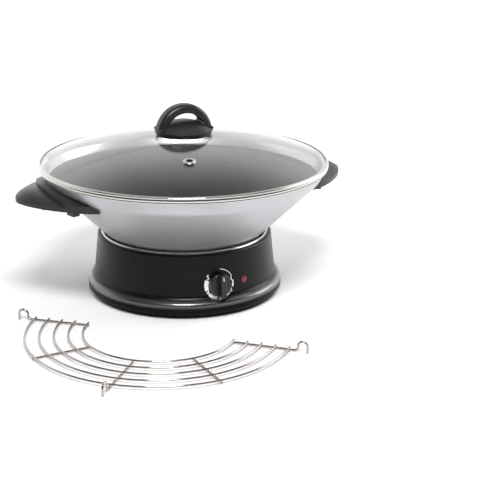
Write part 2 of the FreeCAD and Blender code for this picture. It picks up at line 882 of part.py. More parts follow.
def shaft_with_flat(name, growth, length):
    """A round shaft with one flat side, at rest along its own Z."""
    flat = block(f"{name}_flat", f"2 * shaft_radius + 2 * ({growth})", "shaft_flat", length)
    place(flat, f"-shaft_radius - ({growth})", f"shaft_radius + ({growth}) - shaft_flat")
    return cut(name, rod(f"{name}_round", f"shaft_radius + ({growth})", length), flat)


def thermostat_shaft():
    inside = "(shell_wall + dial_land_backing + thermostat_depth / 2 - seat_gap)"
    round_part = rod("shaft_round", "shaft_radius", f"{inside} + fit_gap + nut_thickness")
    place(round_part, z=f"-{inside}")
    end = shaft_with_flat("shaft_end", "0", "shaft_reach - nut_thickness")
    place(end, z="nut_thickness")
    return on_front_wall(join("shaft", round_part, end))


def control_knob():
    """Round knob with a ribbed edge, a raised grip bar across it and a hollow back over the nut."""
    body = new_body("knob_body")
    blank = new_sketch(body, "XY_Plane", "knob_lift")
    circle(blank, "0", "0", "knob_radius")
    pad(body, blank, "knob_depth")
    doc.recompute()
    for side in (-1, 1):
        flank = new_sketch(body, "XY_Plane", "knob_lift + knob_shoulder")
        near, far = f"{side} * grip_width / 2", f"{side} * (knob_radius + cut_margin)"
        outline(flank, [
            (near, "-knob_radius - cut_margin"),
            (far, "-knob_radius - cut_margin"),
            (far, "knob_radius + cut_margin"),
            (near, "knob_radius + cut_margin"),
        ])
        pocket(body, flank, "knob_depth", upward=True)
    round_edges(body, "grip_round", lambda edge: at_height(edge, "knob_lift + knob_depth"))
    round_edges(body, "knob_shoulder_round", lambda edge: at_height(edge, "knob_lift + knob_shoulder")
                and isinstance(edge.Curve, Part.Circle))
    groove = new_sketch(body, "XY_Plane", "knob_lift")
    circle(groove, "knob_radius + knob_rib_groove - knob_rib_bite", "0", "knob_rib_groove")
    ribs = pocket(body, groove, "knob_shoulder - knob_shoulder_round", upward=True)
    repeat(body, ribs, groove, "knob_rib_count")
    doc.recompute()
    hollow = new_sketch(body, "XY_Plane", "knob_lift")
    circle(hollow, "0", "0", "knob_radius - knob_wall")
    pocket(body, hollow, "knob_hollow_depth", upward=True)
    socket = shaft_with_flat("knob_socket", "running_gap", "shaft_reach + seat_gap")
    return on_front_wall(cut("knob", body, socket))


def lamp_lens():
    """Red lens: a neck through the wall under a low domed button."""
    dome = "((lamp_radius^2 + (lamp_stand / 2)^2) / lamp_stand)"
    body = turned("lens", [
        ("0", "-shell_wall - lamp_radius"),
        ("lamp_neck_radius", "-shell_wall - lamp_radius"),
        ("lamp_neck_radius", "fit_gap"),
        ("lamp_radius", "fit_gap"),
        ("lamp_radius", "fit_gap + lamp_stand / 2", dome, 1),
        ("0", "fit_gap + lamp_stand"),
    ])
    return on_front_wall(body, angle="lamp_angle")


def lamp_holder():
    """Sleeve behind the wall that grips the lens's neck."""
    front = "(shell_wall + seat_gap)"
    body = turned("holder", [
        ("0", f"-{front} - lamp_holder_length"),
        ("lamp_holder_radius", f"-{front} - lamp_holder_length"),
        ("lamp_holder_radius", f"-{front}"),
        ("lamp_neck_radius + fit_gap", f"-{front}"),
        ("lamp_neck_radius + fit_gap", f"-{front} - lamp_radius"),
        ("0", f"-{front} - lamp_radius"),
    ])
    return on_front_wall(body, angle="lamp_angle")


# --- supply ---------------------------------------------------------------------------------


def cord_gland():
    """Gland through the rear wall; the cord enters through its bore."""
    face = "(seat_gap + gland_flange_thickness)"
    body = turned("gland", [
        ("gland_bore_radius", f"{face} - gland_length"),
        ("gland_neck_radius", f"{face} - gland_length"),
        ("gland_neck_radius", "seat_gap"),
        ("gland_flange_radius", "seat_gap"),
        ("gland_flange_radius", face, "gland_flange_round"),
        ("gland_bore_radius", face),
    ])
    return on_front_wall(body, angle="180")


def gland_nut():
    back = "(shell_wall + 2 * seat_gap)"
    body = turned("gland_ring", [
        ("gland_neck_radius + fit_gap", f"-{back} - gland_nut_thickness"),
        ("gland_nut_radius", f"-{back} - gland_nut_thickness"),
        ("gland_nut_radius", f"-{back}"),
        ("gland_neck_radius + fit_gap", f"-{back}"),
    ])
    return on_front_wall(body, angle="180")


def terminal_block():
    """Connector block on the base plate, with a wire hole for each way."""
    blank = block("block_blank", "block_width", "block_depth", "block_height")
    place(blank, "-block_width / 2", "block_offset - block_depth / 2", "plate_floor")
    holes = []
    for index in range(count("block_ways")):
        hole = rod(f"block_hole_{index + 1}", "block_hole_radius", "block_depth")
        hole.Placement.Rotation = FreeCAD.Rotation(X_AXIS, -90)
        across = f"({index} + 0.5) * block_width / block_ways - block_width / 2"
        holes.append(place(hole, across, "block_offset - block_depth / 2", "plate_floor + block_height / 2"))
    return cut("block", blank, join("block_holes", *holes))


# --- wok pan and its handles ----------------------------------------------------------------


def pan_skin(growth):
    """Corners of the pan's skin from the axis out to the rim, moved outwards everywhere by a growth."""
    middle = "((pan_angle + collar_angle) / 2)"
    spread = f"(({growth}) / cos((collar_angle - pan_angle) / 2))"
    return [
        ("0", f"pan_bottom_height - ({growth})"),
        (
            f"pan_bottom_radius + ({growth}) * tan(pan_angle / 2)",
            f"pan_bottom_height - ({growth})",
            f"pan_bottom_round + ({growth})",
        ),
        (
            f"pan_shoulder_radius + {spread} * sin({middle})",
            f"pan_shoulder_height - {spread} * cos({middle})",
            f"pan_shoulder_round + ({growth})",
        ),
        (f"pan_rim_radius + ({growth}) / sin(collar_angle)", "pan_rim_height"),
    ]


def wok_pan():
    """Sheet bowl of one thickness with a small lip turned out round its rim."""
    lip_bottom = "(pan_rim_height - pan_lip_depth)"
    under_lip = "(pan_rim_radius - pan_lip_depth / tan(collar_angle))"
    outside = pan_skin("0")[:-1] + [
        (under_lip, lip_bottom),
        ("pan_rim_radius + pan_lip_reach", lip_bottom, "pan_lip_round"),
        ("pan_rim_radius + pan_lip_reach", "pan_rim_height", "pan_lip_round"),
    ]
    return turned("pan", outside + pan_skin("-pan_wall")[::-1])


WING_SECTIONS = ("tip", "nose", "shoulder", "middle", "waist", "root")


def wing(name, growth):
    """An arched wing lofted along X; every section is flat below and a low arch above."""
    body = new_body(name)
    sketches = []
    for part in WING_SECTIONS:
        half, rise = f"wing_{part}_half", f"wing_{part}_rise"
        edge = f"handle_base_height + handle_edge + ({growth})"
        bend = f"({half}^2 + {rise}^2) / (2 * {rise})"
        sketch = new_sketch(body, "YZ_Plane", f"pan_rim_radius + wing_{part}_offset")
        sketches.append(outline(sketch, [
            (f"-{half}", "handle_base_height"),
            (half, "handle_base_height"),
            (half, edge, bend, 1),
            (f"-{half}", edge),
        ]))
    loft = body.newObject("PartDesign::AdditiveLoft", name + "_loft")
    loft.Profile = sketches[0]
    loft.Sections = sketches[1:]
    doc.recompute()
    return body


def trough(index, side):
    """The sunk groove between a handle's raised collar and the pan's wall, on one side of the bridge."""
    body = new_body(f"trough_{index}")
    sketch = outline(new_sketch(body, "XZ_Plane"), [
        ("trough_floor_radius - trough_width", "trough_floor_height"),
        ("trough_floor_radius + trough_width", "trough_floor_height"),
        ("trough_mouth_radius", "pan_rim_height"),
        ("trough_floor_radius - trough_width", "pan_rim_height"),
    ])
    feature = body.newObject("PartDesign::Revolution", f"trough_{index}_turned")
    feature.Profile = sketch
    feature.ReferenceAxis = (sketch, ["V_Axis"])
    bind(feature, Angle="trough_sweep")
    doc.recompute()
    start = "trough_start" if side > 0 else "-trough_start - trough_sweep"
    return turn(body, Z_AXIS, start)


def peg(kind, index, side):
    """An upright block under the handle, a lug or a nub, on one side of the bridge."""
    body = new_body(f"{kind}_{index}")
    sketch = outline(new_sketch(body, "XY_Plane", f"{kind}_bottom"), [
        (f"{kind}_circle - {kind}_width / 2", f"-{kind}_length / 2"),
        (f"{kind}_circle + {kind}_width / 2", f"-{kind}_length / 2"),
        (f"{kind}_circle + {kind}_width / 2", f"{kind}_length / 2"),
        (f"{kind}_circle - {kind}_width / 2", f"{kind}_length / 2"),
    ])
    pad(body, sketch, f"handle_base_height + handle_edge / 2 - {kind}_bottom")
    return turn(body, Z_AXIS, f"{side} * {kind}_angle")


def handle():
    """Wing with a raised collar beside the rim, cut to the pan's wall, with lugs underneath."""
    collar_limit = rod("collar_limit", "collar_radius", "pan_rim_height")
    collar = common("collar_piece", wing("raised_wing", "collar_step"), collar_limit)
    pieces = [wing("plain_wing", "0"), collar]
    for index, side in enumerate((-1, 1), start=1):
        pieces += [peg("lug", index, side), peg("nub", index, side)]
    under_lid = rod("lid_room", "lid_radius + seat_gap", "lid_radius")
    place(under_lid, z="pan_rim_height - pan_lip_depth - seat_gap")
    screw_depth = "handle_screw_length + seat_gap"
    screw_hole = rod("handle_screw_hole", "handle_screw_radius + running_gap", screw_depth)
    place(screw_hole, "handle_screw_reach", "0", "handle_base_height - fit_gap")
    pan_room = turned("pan_room", pan_skin("seat_gap") + [("0", "pan_rim_height")])
    tools = [pan_room, under_lid, screw_hole, trough(1, 1), trough(2, -1)]
    return cut("handle_cut", join("handle_solid", *pieces), join("handle_tools", *tools))


def handle_bracket():
    """Bent strap welded to the pan's wall; the handle is screwed down to its flat."""
    top = "(handle_base_height - fit_gap)"
    under = f"({top} - bracket_sheet)"
    foot = f"({under} - bracket_tab)"
    skin = "(bracket_sheet * sqrt(1 + pan_slope^2))"

    def wall(height):
        return f"(pan_bottom_radius + ({height} - pan_bottom_height) * pan_slope + seat_gap)"

    body = new_body("strap")
    sketch = outline(new_sketch(body, "XZ_Plane"), [
        (wall(foot), foot),
        (f"{wall(foot)} + {skin}", foot),
        (f"{wall(under)} + {skin}", under),
        ("bracket_reach", under),
        ("bracket_reach", top),
        (wall(top), top),
    ])
    pad(body, sketch, "bracket_width", both_sides=True)
    hole = rod("strap_hole", "handle_screw_radius + fit_gap", "3 * bracket_sheet")
    place(hole, "handle_screw_reach", "0", f"{top} - 2 * bracket_sheet")
    return cut("bracket", body, hole)


def handle_screw():
    under = "(handle_base_height - fit_gap - bracket_sheet)"
    body = turned("wing_screw", [
        ("0", f"{under} - handle_screw_head_depth"),
        ("handle_screw_head", f"{under} - handle_screw_head_depth"),
        ("handle_screw_head", under),
        ("handle_screw_radius", under),
        ("handle_screw_radius", "handle_base_height - fit_gap + handle_screw_length"),
        ("0", "handle_base_height - fit_gap + handle_screw_length"),
    ])
    return place(body, "handle_screw_reach")


def mirrored(thing, name):
    """The same piece on the other side of the pan."""
    copy = doc.addObject("Part::Mirroring", name)
    copy.Source = thing
    copy.Normal = X_AXIS
    return copy


# --- lid ------------------------------------------------------------------------------------


def dome_height(radius):
    """Height of the glass's upper surface at a radius."""
    return f"(dome_centre + sqrt(dome_radius^2 - ({radius})^2))"


def on_glass(thing, depth):
    """Stands a piece on the glass at the vent, its own Z square to the dome."""
    tilt = FreeCAD.Rotation(X_AXIS, value("vent_tilt"))
    thing.Placement.Rotation = FreeCAD.Rotation(Z_AXIS, -value("vent_angle")) * tilt
    out = f"(vent_reach + ({depth}) * sin(vent_tilt))"
    up = f"{dome_height('vent_reach')} + ({depth}) * cos(vent_tilt)"
    return place(thing, f"-{out} * sin(vent_angle)", f"-{out} * cos(vent_angle)", up)


def lid_glass():
    """Domed glass of even thickness with a hole for the knob's screw and one for the vent."""
    dome = turned("dome", [
        ("0", "glass_bottom", "dome_radius", -1),
        ("glass_edge_radius", "glass_edge_bottom"),
        ("glass_edge_radius", "glass_edge_top", "dome_radius", 1),
        ("0", "glass_top"),
    ])
    screw_hole = rod("glass_screw_hole", "knob_screw_radius + seat_gap", "3 * glass_thickness")
    place(screw_hole, z="glass_top - 2 * glass_thickness")
    vent_hole = rod("glass_vent_hole", "vent_neck_radius + fit_gap", "3 * glass_thickness")
    on_glass(vent_hole, "-2 * glass_thickness")
    return cut("glass", dome, join("glass_holes", screw_hole, vent_hole))


def lid_channel():
    """Sheet channel folded round the glass's edge, with a skirt that drops inside the pan's collar."""
    fold = "(lid_radius - channel_fold)"
    corner = "(glass_edge_top + fit_gap + channel_sheet)"
    fold_top = f"({dome_height(fold)} + fit_gap + channel_sheet)"
    return turned("channel", [
        ("skirt_radius - channel_sheet", "skirt_bottom"),
        ("skirt_radius", "skirt_bottom"),
        ("skirt_radius", "channel_bottom"),
        ("lid_radius", "channel_bottom"),
        ("lid_radius", corner, "channel_round"),
        (fold, fold_top),
        (fold, f"{fold_top} - channel_sheet"),
        ("lid_radius - channel_sheet", f"{corner} - channel_sheet"),
        ("lid_radius - channel_sheet", "channel_bottom + channel_sheet"),
        ("skirt_radius - channel_sheet", "channel_bottom + channel_sheet"),
    ])


def vent_grommet():
    """Eyelet through the glass: a wide flange above, a turned-out edge below."""
    body = turned("vent", [
        ("vent_bore_radius", "-glass_thickness - vent_flange_thickness"),
        ("vent_neck_radius + vent_curl", "-glass_thickness - vent_flange_thickness"),
        ("vent_neck_radius + vent_curl", "-glass_thickness - fit_gap"),
        ("vent_neck_radius", "-glass_thickness - fit_gap"),
        ("vent_neck_radius", "fit_gap"),
        ("vent_flange_radius", "fit_gap"),
        ("vent_flange_radius", "fit_gap + vent_flange_thickness", "vent_flange_round"),
        ("vent_bore_radius", "fit_gap + vent_flange_thickness"),
    ])
    return on_glass(body, "0")


def disc_form():
    """The knob's domed disc, hollow below round a boss that stands on the glass."""
    return turned("disc", [
        ("0", "glass_top + disc_lift"),
        ("boss_radius", "glass_top + disc_lift"),
        ("boss_radius", "glass_top + disc_hollow"),
        ("disc_skirt_radius - disc_wall", "glass_top + disc_hollow"),
        ("disc_skirt_radius - disc_wall", "disc_foot"),
        ("disc_skirt_radius", "disc_foot"),
        ("disc_radius", "disc_edge", "disc_bend", 1),
        ("0", "disc_edge + disc_dome"),
    ])


def arch_pad(side):
    """A sloping ledge on the dome that a leg of the arch stands on."""
    height_here = "(disc_edge + disc_dome - disc_bend + sqrt(disc_bend^2 - pad_reach^2))"
    body = new_body("left_pad" if side < 0 else "right_pad")
    sketch = outline(new_sketch(body, "XY_Plane"), [
        ("-pad_length / 2", "-pad_width / 2"),
        ("pad_length / 2", "-pad_width / 2"),
        ("pad_length / 2", "pad_width / 2"),
        ("-pad_length / 2", "pad_width / 2"),
    ])
    pad(body, sketch, "pad_height")
    turn(body, Y_AXIS, f"{side} * pad_slope")
    return place(body, f"{side} * pad_reach", "0", f"{height_here} - pad_height + pad_stand")


def knob_disc():
    hole = rod("disc_screw_hole", "knob_screw_radius + running_gap", "knob_screw_reach + cut_margin")
    place(hole, z="glass_top + disc_lift - cut_margin")
    return cut("disc_cut", join("disc_solid", disc_form(), arch_pad(-1), arch_pad(1)), hole)


def knob_arch(disc):
    """Arched grip: a half-round band along X, well rounded outside, cut to the disc and its ledges."""
    body = new_body("arch")
    sketch = outline(new_sketch(body, "XZ_Plane"), [
        ("arch_radius", "arch_middle", "arch_radius", 1),
        ("0", "arch_middle + arch_radius", "arch_radius", 1),
        ("-arch_radius", "arch_middle"),
        ("-arch_inner", "arch_middle", "arch_inner", -1),
        ("0", "arch_middle + arch_inner", "arch_inner", -1),
        ("arch_inner", "arch_middle"),
    ])
    pad(body, sketch, "arch_width", both_sides=True)
    for radius, rounding in (("arch_radius", "arch_round"), ("arch_inner", "arch_edge_round")):
        round_edges(body, rounding, lambda edge: isinstance(edge.Curve, Part.Circle)
                    and same(edge.Curve.Radius, value(radius)))
    below = place(rod("leg_ends", "disc_radius + arch_width", "leg_seam"), z="disc_edge")
    return cut("arch_cut", body, join("arch_seat", disc, below))


def knob_screw():
    washer_bottom = "(glass_bottom - fit_gap - washer_thickness)"
    return turned("lid_screw", [
        ("0", f"{washer_bottom} - knob_screw_head_depth"),
        ("knob_screw_head", f"{washer_bottom} - knob_screw_head_depth"),
        ("knob_screw_head", washer_bottom),
        ("knob_screw_radius", washer_bottom),
        ("knob_screw_radius", "glass_top + disc_lift + knob_screw_reach - seat_gap"),
        ("0", "glass_top + disc_lift + knob_screw_reach - seat_gap"),
    ])


def knob_washer():
    return turned("lid_washer", [
        ("knob_screw_radius + fit_gap", "glass_bottom - fit_gap - washer_thickness"),
        ("washer_radius", "glass_bottom - fit_gap - washer_thickness"),
        ("washer_radius", "glass_bottom - fit_gap"),
        ("knob_screw_radius + fit_gap", "glass_bottom - fit_gap"),
    ])


# --- draining rack --------------------------------------------------------------------------

def rack_wire(index):
    """A half-round wire that runs a little past the outer bars."""
    radius = f"(rack_first_radius + {index} * rack_wire_pitch)"
    past = f"(rack_overhang / {radius} * 180 / pi)"
    wire = doc.addObject("Part::Torus", f"wire_{index + 1}")
    spread = "((rack_bar_count - 1) * rack_bar_pitch)"
    bind(wire, Radius1=radius, Radius2="rack_wire_radius", Angle3=f"{spread} + 2 * {past}")
    turn(wire, Z_AXIS, f"rack_angle - {spread} / 2 - {past}")
    return place(wire, "-rack_left_distance", "-rack_front_distance", "rack_wire_height")


def straight_bar(index, angle):
    bar = rod(f"bar_{index + 1}", "rack_bar_radius", "rack_bar_end - rack_bar_start")
    bar.Placement.Rotation = FreeCAD.Rotation(Z_AXIS, value(angle)) * FreeCAD.Rotation(Y_AXIS, 90)
    across = f"-rack_left_distance + rack_bar_start * cos({angle})"
    return place(bar, across, f"-rack_front_distance + rack_bar_start * sin({angle})", "rack_bar_height")


def hooked_bar(index, angle):
    """A bar that rises at its outer end into a hook whose tip comes back down to the table."""
    body = new_body(f"hook_{index + 1}")
    leg = "(hook_foot + hook_bend)"
    crown = "(hook_top_height - hook_span / 2)"
    spine = outline(new_sketch(body, "XZ_Plane"), [
        ("rack_bar_start", "rack_bar_height"),
        ("hook_foot", "rack_bar_height", "hook_bend", 1),
        (leg, "rack_bar_height + hook_bend"),
        (leg, crown, "hook_span / 2", -1),
        (f"{leg} + hook_span / 2", "hook_top_height", "hook_span / 2", -1),
        (f"{leg} + hook_span", crown),
        (f"{leg} + hook_span", "0"),
    ], closed=False)
    profile = new_sketch(body, "YZ_Plane", "rack_bar_start")
    circle(profile, "0", "rack_bar_height", "rack_bar_radius")
    doc.recompute()
    sweep = body.newObject("PartDesign::AdditivePipe", f"hook_{index + 1}_sweep")
    sweep.Profile = profile
    sweep.Spine = spine
    doc.recompute()
    turn(body, Z_AXIS, angle)
    return place(body, "-rack_left_distance", "-rack_front_distance")


def rack_bar(index):
    angle = f"(rack_angle + ({index} - (rack_bar_count - 1) / 2) * rack_bar_pitch)"
    return hooked_bar(index, angle) if index % 2 == 0 else straight_bar(index, angle)


# --- the assembly ---------------------------------------------------------------------------

node(base_shell(), "base_shell")
node(base_plate(), "base_plate")
for index in range(count("screw_count")):
    node(rubber_foot(index), f"rubber_foot_{index + 1}")
    node(base_screw(index), f"base_screw_{index + 1}")
node(trim_ring(), "trim_ring")
node(heat_shield(), "heat_shield")
node(hot_plate(), "hot_plate")
node(heating_element(), "heating_element")
for index in range(count("stud_count")):
    node(hot_plate_stud(index), f"hot_plate_stud_{index + 1}")
node(thermostat(), "thermostat_body")
node(thermostat_nut(), "thermostat_nut")
node(lamp_lens(), "lamp_lens")
node(lamp_holder(), "lamp_holder")
node(cord_gland(), "cord_gland")
node(gland_nut(), "gland_nut")
node(terminal_block(), "terminal_block")
node(control_knob(), "control_knob")
node(thermostat_shaft(), "thermostat_shaft")
node(wok_pan(), "wok_pan")
for make, label in ((handle, "handle"), (handle_bracket, "handle_bracket"), (handle_screw, "handle_screw")):
    piece = make()
    node(piece, label + "_right")
    node(mirrored(piece, label + "_mirror"), label + "_left")
node(lid_glass(), "lid_glass")
node(lid_channel(), "lid_rim")
node(vent_grommet(), "vent_grommet")
disc = node(knob_disc(), "lid_knob_disc")
node(knob_arch(disc), "lid_knob_arch")
node(knob_screw(), "lid_knob_screw")
node(knob_washer(), "lid_knob_washer")
for index in range(count("rack_wire_count")):
    node(rack_wire(index), f"rack_wire_{index + 1}")
for index in range(count("rack_bar_count")):
    node(rack_bar(index), f"rack_bar_{index + 1}")

doc.recompute()
for thing in doc.Objects:
    if "Invalid" in thing.State or "Error" in thing.State:
        raise ValueError(f"{thing.Name} did not build: {thing.State}")
for thing in nodes:
    if thing.Shape.isNull() or not thing.Shape.isValid() or not thing.Shape.Solids:
        raise ValueError(f"{thing.Label} has no valid solid")

os.makedirs("parts", exist_ok=True)
for thing in nodes:
    thing.Shape.exportStep(f"parts/{thing.Label}.step")
    print(f"{thing.Label}: {len(thing.Shape.Solids)} solid, {thing.Shape.Volume / 1000:.2f} cm3")
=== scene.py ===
"""Electric wok with a glass lid and a draining rack: finishes, printed dial and studio.

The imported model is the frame. Lengths are metres in code and millimetres where a name says so.
The model stands on the floor at z = 0, its axis on the origin and its control knob towards -Y.
"""

import json
import math

import bpy
import numpy as np
from bpy.props import FloatProperty, FloatVectorProperty, IntProperty, PointerProperty
from mathutils import Matrix, Vector


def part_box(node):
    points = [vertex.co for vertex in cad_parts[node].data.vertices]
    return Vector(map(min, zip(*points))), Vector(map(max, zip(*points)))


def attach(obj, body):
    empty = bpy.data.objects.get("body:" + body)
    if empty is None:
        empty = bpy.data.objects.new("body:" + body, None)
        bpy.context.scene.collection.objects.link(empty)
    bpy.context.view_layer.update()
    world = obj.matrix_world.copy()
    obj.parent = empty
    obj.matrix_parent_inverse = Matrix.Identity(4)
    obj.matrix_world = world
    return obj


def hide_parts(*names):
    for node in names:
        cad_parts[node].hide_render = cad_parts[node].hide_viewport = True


bl_info = {
    "name": "Electric wok",
    "version": (1, 0, 0),
    "blender": (4, 5, 0),
    "location": "View3D > Sidebar > Wok",
    "description": "Finishes, printed dial and studio for an electric wok with a draining rack",
    "category": "Object",
}

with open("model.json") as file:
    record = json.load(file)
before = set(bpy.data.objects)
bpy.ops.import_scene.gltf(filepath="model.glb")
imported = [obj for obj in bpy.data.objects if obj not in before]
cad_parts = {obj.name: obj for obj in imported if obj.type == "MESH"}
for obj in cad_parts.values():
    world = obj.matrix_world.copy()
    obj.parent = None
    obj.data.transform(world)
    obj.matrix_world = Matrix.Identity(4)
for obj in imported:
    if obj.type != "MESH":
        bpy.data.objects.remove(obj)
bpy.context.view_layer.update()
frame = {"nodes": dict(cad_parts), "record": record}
NODES = frame["nodes"]
MM = 0.001
SHARP_ANGLE = math.radians(35.0)


# --- small tools -----------------------------------------------------------------------------


def srgb(text, alpha=1.0):
    """Linear colour from an sRGB hex value such as 8a8d90."""
    channels = [int(text[i:i + 2], 16) / 255 for i in (0, 2, 4)]
    linear = [c / 12.92 if c <= 0.04045 else ((c + 0.055) / 1.055) ** 2.4 for c in channels]
    return (*linear, alpha)


def add(tree, kind, inputs=None, **settings):
    """Adds a node, sets its properties, and fills its inputs with values or links to sockets."""
    node = tree.nodes.new("ShaderNode" + kind)
    for name, what in settings.items():
        setattr(node, name, what)
    for name, what in (inputs or {}).items():
        if isinstance(what, bpy.types.NodeSocket):
            tree.links.new(what, node.inputs[name])
        else:
            node.inputs[name].default_value = what
    return node


def ramp(tree, value, start, end, low=0.0, high=1.0, **settings):
    """A number that goes from low to high while a value goes from start to end, and holds outside."""
    return add(tree, "MapRange", {"Value": value, "From Min": start, "From Max": end,
                                  "To Min": low, "To Max": high}, **settings).outputs[0]


def maths(tree, operation, first, second):
    """A sum, a product or a comparison of two numbers."""
    return add(tree, "Math", {0: first, 1: second}, operation=operation).outputs[0]


def component(tree, vector, axis):
    """The X, Y or Z of a vector."""
    return add(tree, "SeparateXYZ", {0: vector}).outputs[axis]


def along(tree, vector, direction):
    """How far a vector reaches along a direction."""
    return add(tree, "VectorMath", {0: vector, 1: direction}, operation="DOT_PRODUCT").outputs["Value"]


def new_material(name, surface):
    """A node material. surface(tree, place) adds nodes and gives the shader; place is Object coordinates."""
    material = bpy.data.materials.new(name)
    material.use_nodes = True
    tree = material.node_tree
    tree.nodes.clear()
    place = add(tree, "TexCoord").outputs["Object"]
    shader = surface(tree, place)
    add(tree, "OutputMaterial", {"Surface": shader})
    return material


def mottled(tree, place, size_mm, low, high, detail=3.0, stretch=(1.0, 1.0, 1.0)):
    """A number that wanders between low and high in patches of a real size, such as roughness."""
    scaled = add(tree, "Mapping", {"Vector": place, "Scale": stretch})
    scale = 1.0 / (size_mm * MM)
    noise = add(tree, "TexNoise", {"Vector": scaled.outputs[0], "Scale": scale, "Detail": detail})
    # Noise seldom leaves the range 0.3 to 0.7.
    return ramp(tree, noise.outputs[0], 0.3, 0.7, low, high)


def bumped(tree, place, size_mm, depth_mm, detail=2.0, stretch=(1.0, 1.0, 1.0)):
    """A normal roughened by grain of a real size and depth."""
    height = mottled(tree, place, size_mm, 0.0, 1.0, detail, stretch)
    bump = add(tree, "Bump", {"Height": height, "Distance": depth_mm * MM, "Strength": 1.0})
    return bump.outputs[0]


def mixed_colour(tree, factor, first, second):
    """A colour between two, by a factor. Sockets 6, 7 and 2 of the node are its colour ones."""
    return add(tree, "Mix", {"Factor": factor, 6: first, 7: second}, data_type="RGBA").outputs[2]


def mixed_number(tree, factor, first, second):
    """A number between two, by a factor. Sockets 2, 3 and 0 of the node are its number ones."""
    return add(tree, "Mix", {"Factor": factor, 2: first, 3: second}).outputs[0]


def toned(colour, share):
    """A colour made darker or paler by a share, no channel above full."""
    return (*[min(1.0, channel * share) for channel in colour[:3]], 1.0)


def shared(name, make, *settings):
    """The material of this name, which is made when it is first asked for."""
    return bpy.data.materials.get(name) or make(*settings)


def numbered(name, count):
    """The names of the CAD nodes name_1 to name_count."""
    return [f"{name}_{i}" for i in range(1, count + 1)]


def finish(material, *names):
    """Gives CAD nodes a material."""
    for name in names:
        for entry in NODES[name].material_slots:
            entry.material = material


def placed(name, data):
    """A new object with this data, linked to the scene."""
    item = bpy.data.objects.new(name, data)
    bpy.context.scene.collection.objects.link(item)
    return item


def new_mesh(name, vertices, faces, material, smooth=True):
    """A mesh from an array of points and lists of corners."""
    mesh = bpy.data.meshes.new(name)
    mesh.from_pydata(vertices.tolist(), [], faces)
    mesh.polygons.foreach_set("use_smooth", [smooth] * len(mesh.polygons))
    mesh.update()
    mesh.materials.append(material)
    return mesh


def mesh_piece(name, vertices, faces, material, body, smooth=True):
    """A piece from an array of points and lists of corners, riding on a body."""
    piece = placed(name, new_mesh(name, vertices, faces, material, smooth))
    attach(piece, body)
    return piece


def grid_quads(rows, columns, close_rows=False, close_columns=False):
    """Corners of the quads of a grid of points, which may close on itself either way.

    Quad at row r and column c: (r, c), (r, c + 1), (r + 1, c + 1), (r + 1, c).
    """
    row, column = np.meshgrid(np.arange(rows if close_rows else rows - 1),
                              np.arange(columns if close_columns else columns - 1), indexing="ij")
    next_row, next_column = (row + 1) % rows, (column + 1) % columns
    return np.stack([row * columns + column, row * columns + next_column,
                     next_row * columns + next_column, next_row * columns + column], -1).reshape(-1, 4)


def tubes(ring_sets):
    """Points and faces of several closed tubes, each an array of rings with a face on each end ring."""
    points, faces, start = [], [], 0
    for rings in ring_sets:
        rows, around = rings.shape[:2]
        end = start + rows * around
        faces += (grid_quads(rows, around, close_columns=True) + start).tolist()
        faces += [list(range(start + around - 1, start - 1, -1)), list(range(end - around, end))]
        points.append(rings.reshape(-1, 3))
        start = end
    return np.concatenate(points), faces


def lathe(name, profile, material, body, steps=300):
    """A closed profile of radii and heights turned about the axis, anticlockwise round its section.

    Point of profile corner k at angle a: (radius_k * cos(a), radius_k * sin(a), height_k).
    """
    angle = np.linspace(0.0, 2 * math.pi, steps, endpoint=False)[:, None]
    radius, height = profile.T[:, None, :]
    points = np.stack(np.broadcast_arrays(radius * np.cos(angle), radius * np.sin(angle), height), -1)
    quads = grid_quads(steps, len(profile), close_rows=True, close_columns=True)
    # Turned the other way round, because an anticlockwise profile needs that to face outwards.
    quads = quads[:, [0, 3, 2, 1]]
    piece = mesh_piece(name, points.reshape(-1, 3), quads.tolist(), material, body)
    piece.data.set_sharp_from_angle(angle=SHARP_ANGLE)
    return piece


# --- settings --------------------------------------------------------------------------------


def colour(name, hex_value, description):
    return FloatVectorProperty(name=name, description=description, default=srgb(hex_value),
                               subtype="COLOR", size=4, min=0.0, max=1.0)


def length(name, millimetres, description):
    return FloatProperty(name=name, description=description, default=millimetres * MM,
                         unit="LENGTH", min=0.0, max=100.0, precision=5)


class WokFinishes(bpy.types.PropertyGroup):
    """Colours of the object's own materials."""

    base_black: colour("Base", "0b0b0c", "Moulded polypropylene of the base")
    grip_black: colour("Grips", "1c1c1e", "Phenolic moulding of the handles and the lid's knob")
    pan_silver: colour("Pan outside", "cdced0", "Silver lacquer outside the pan")
    pan_grey: colour("Pan inside", "18191b", "Grey non-stick coating inside the pan")
    pan_rim: colour("Pan rim", "d6d7d8", "Bare metal round the pan's collar and lip")
    steel: colour("Steel", "d8d5d0", "Polished stainless steel of the rims")
    chrome: colour("Chrome", "b7afa8", "Plated wire of the rack")
    lamp_red: colour("Lamp", "8a2c36", "Red acrylic of the pilot lamp")
    print_white: colour("Dial print", "ffffff", "Pad-printed ink of the dial")


class WokDial(bpy.types.PropertyGroup):
    """The printed temperature scale round the control knob."""

    outer_radius: length("Outer radius", 18.9, "Outer edge of the printed scale")
    thin: length("Thin end", 0.8, "Width of the scale's line where it starts")
    thick: length("Thick end", 5.6, "Width of the scale's line where it ends")
    digit_height: length("Digit height", 6.0, "Height of the printed digits")
    digit_radius: length("Digit radius", 17.0, "Distance of the digits from the knob's axis")
    print_height: length("Print height", 0.12, "How far the print stands above the land")
    digits: IntProperty(name="Digits", description="Number of heat settings", default=5, min=1, max=5)


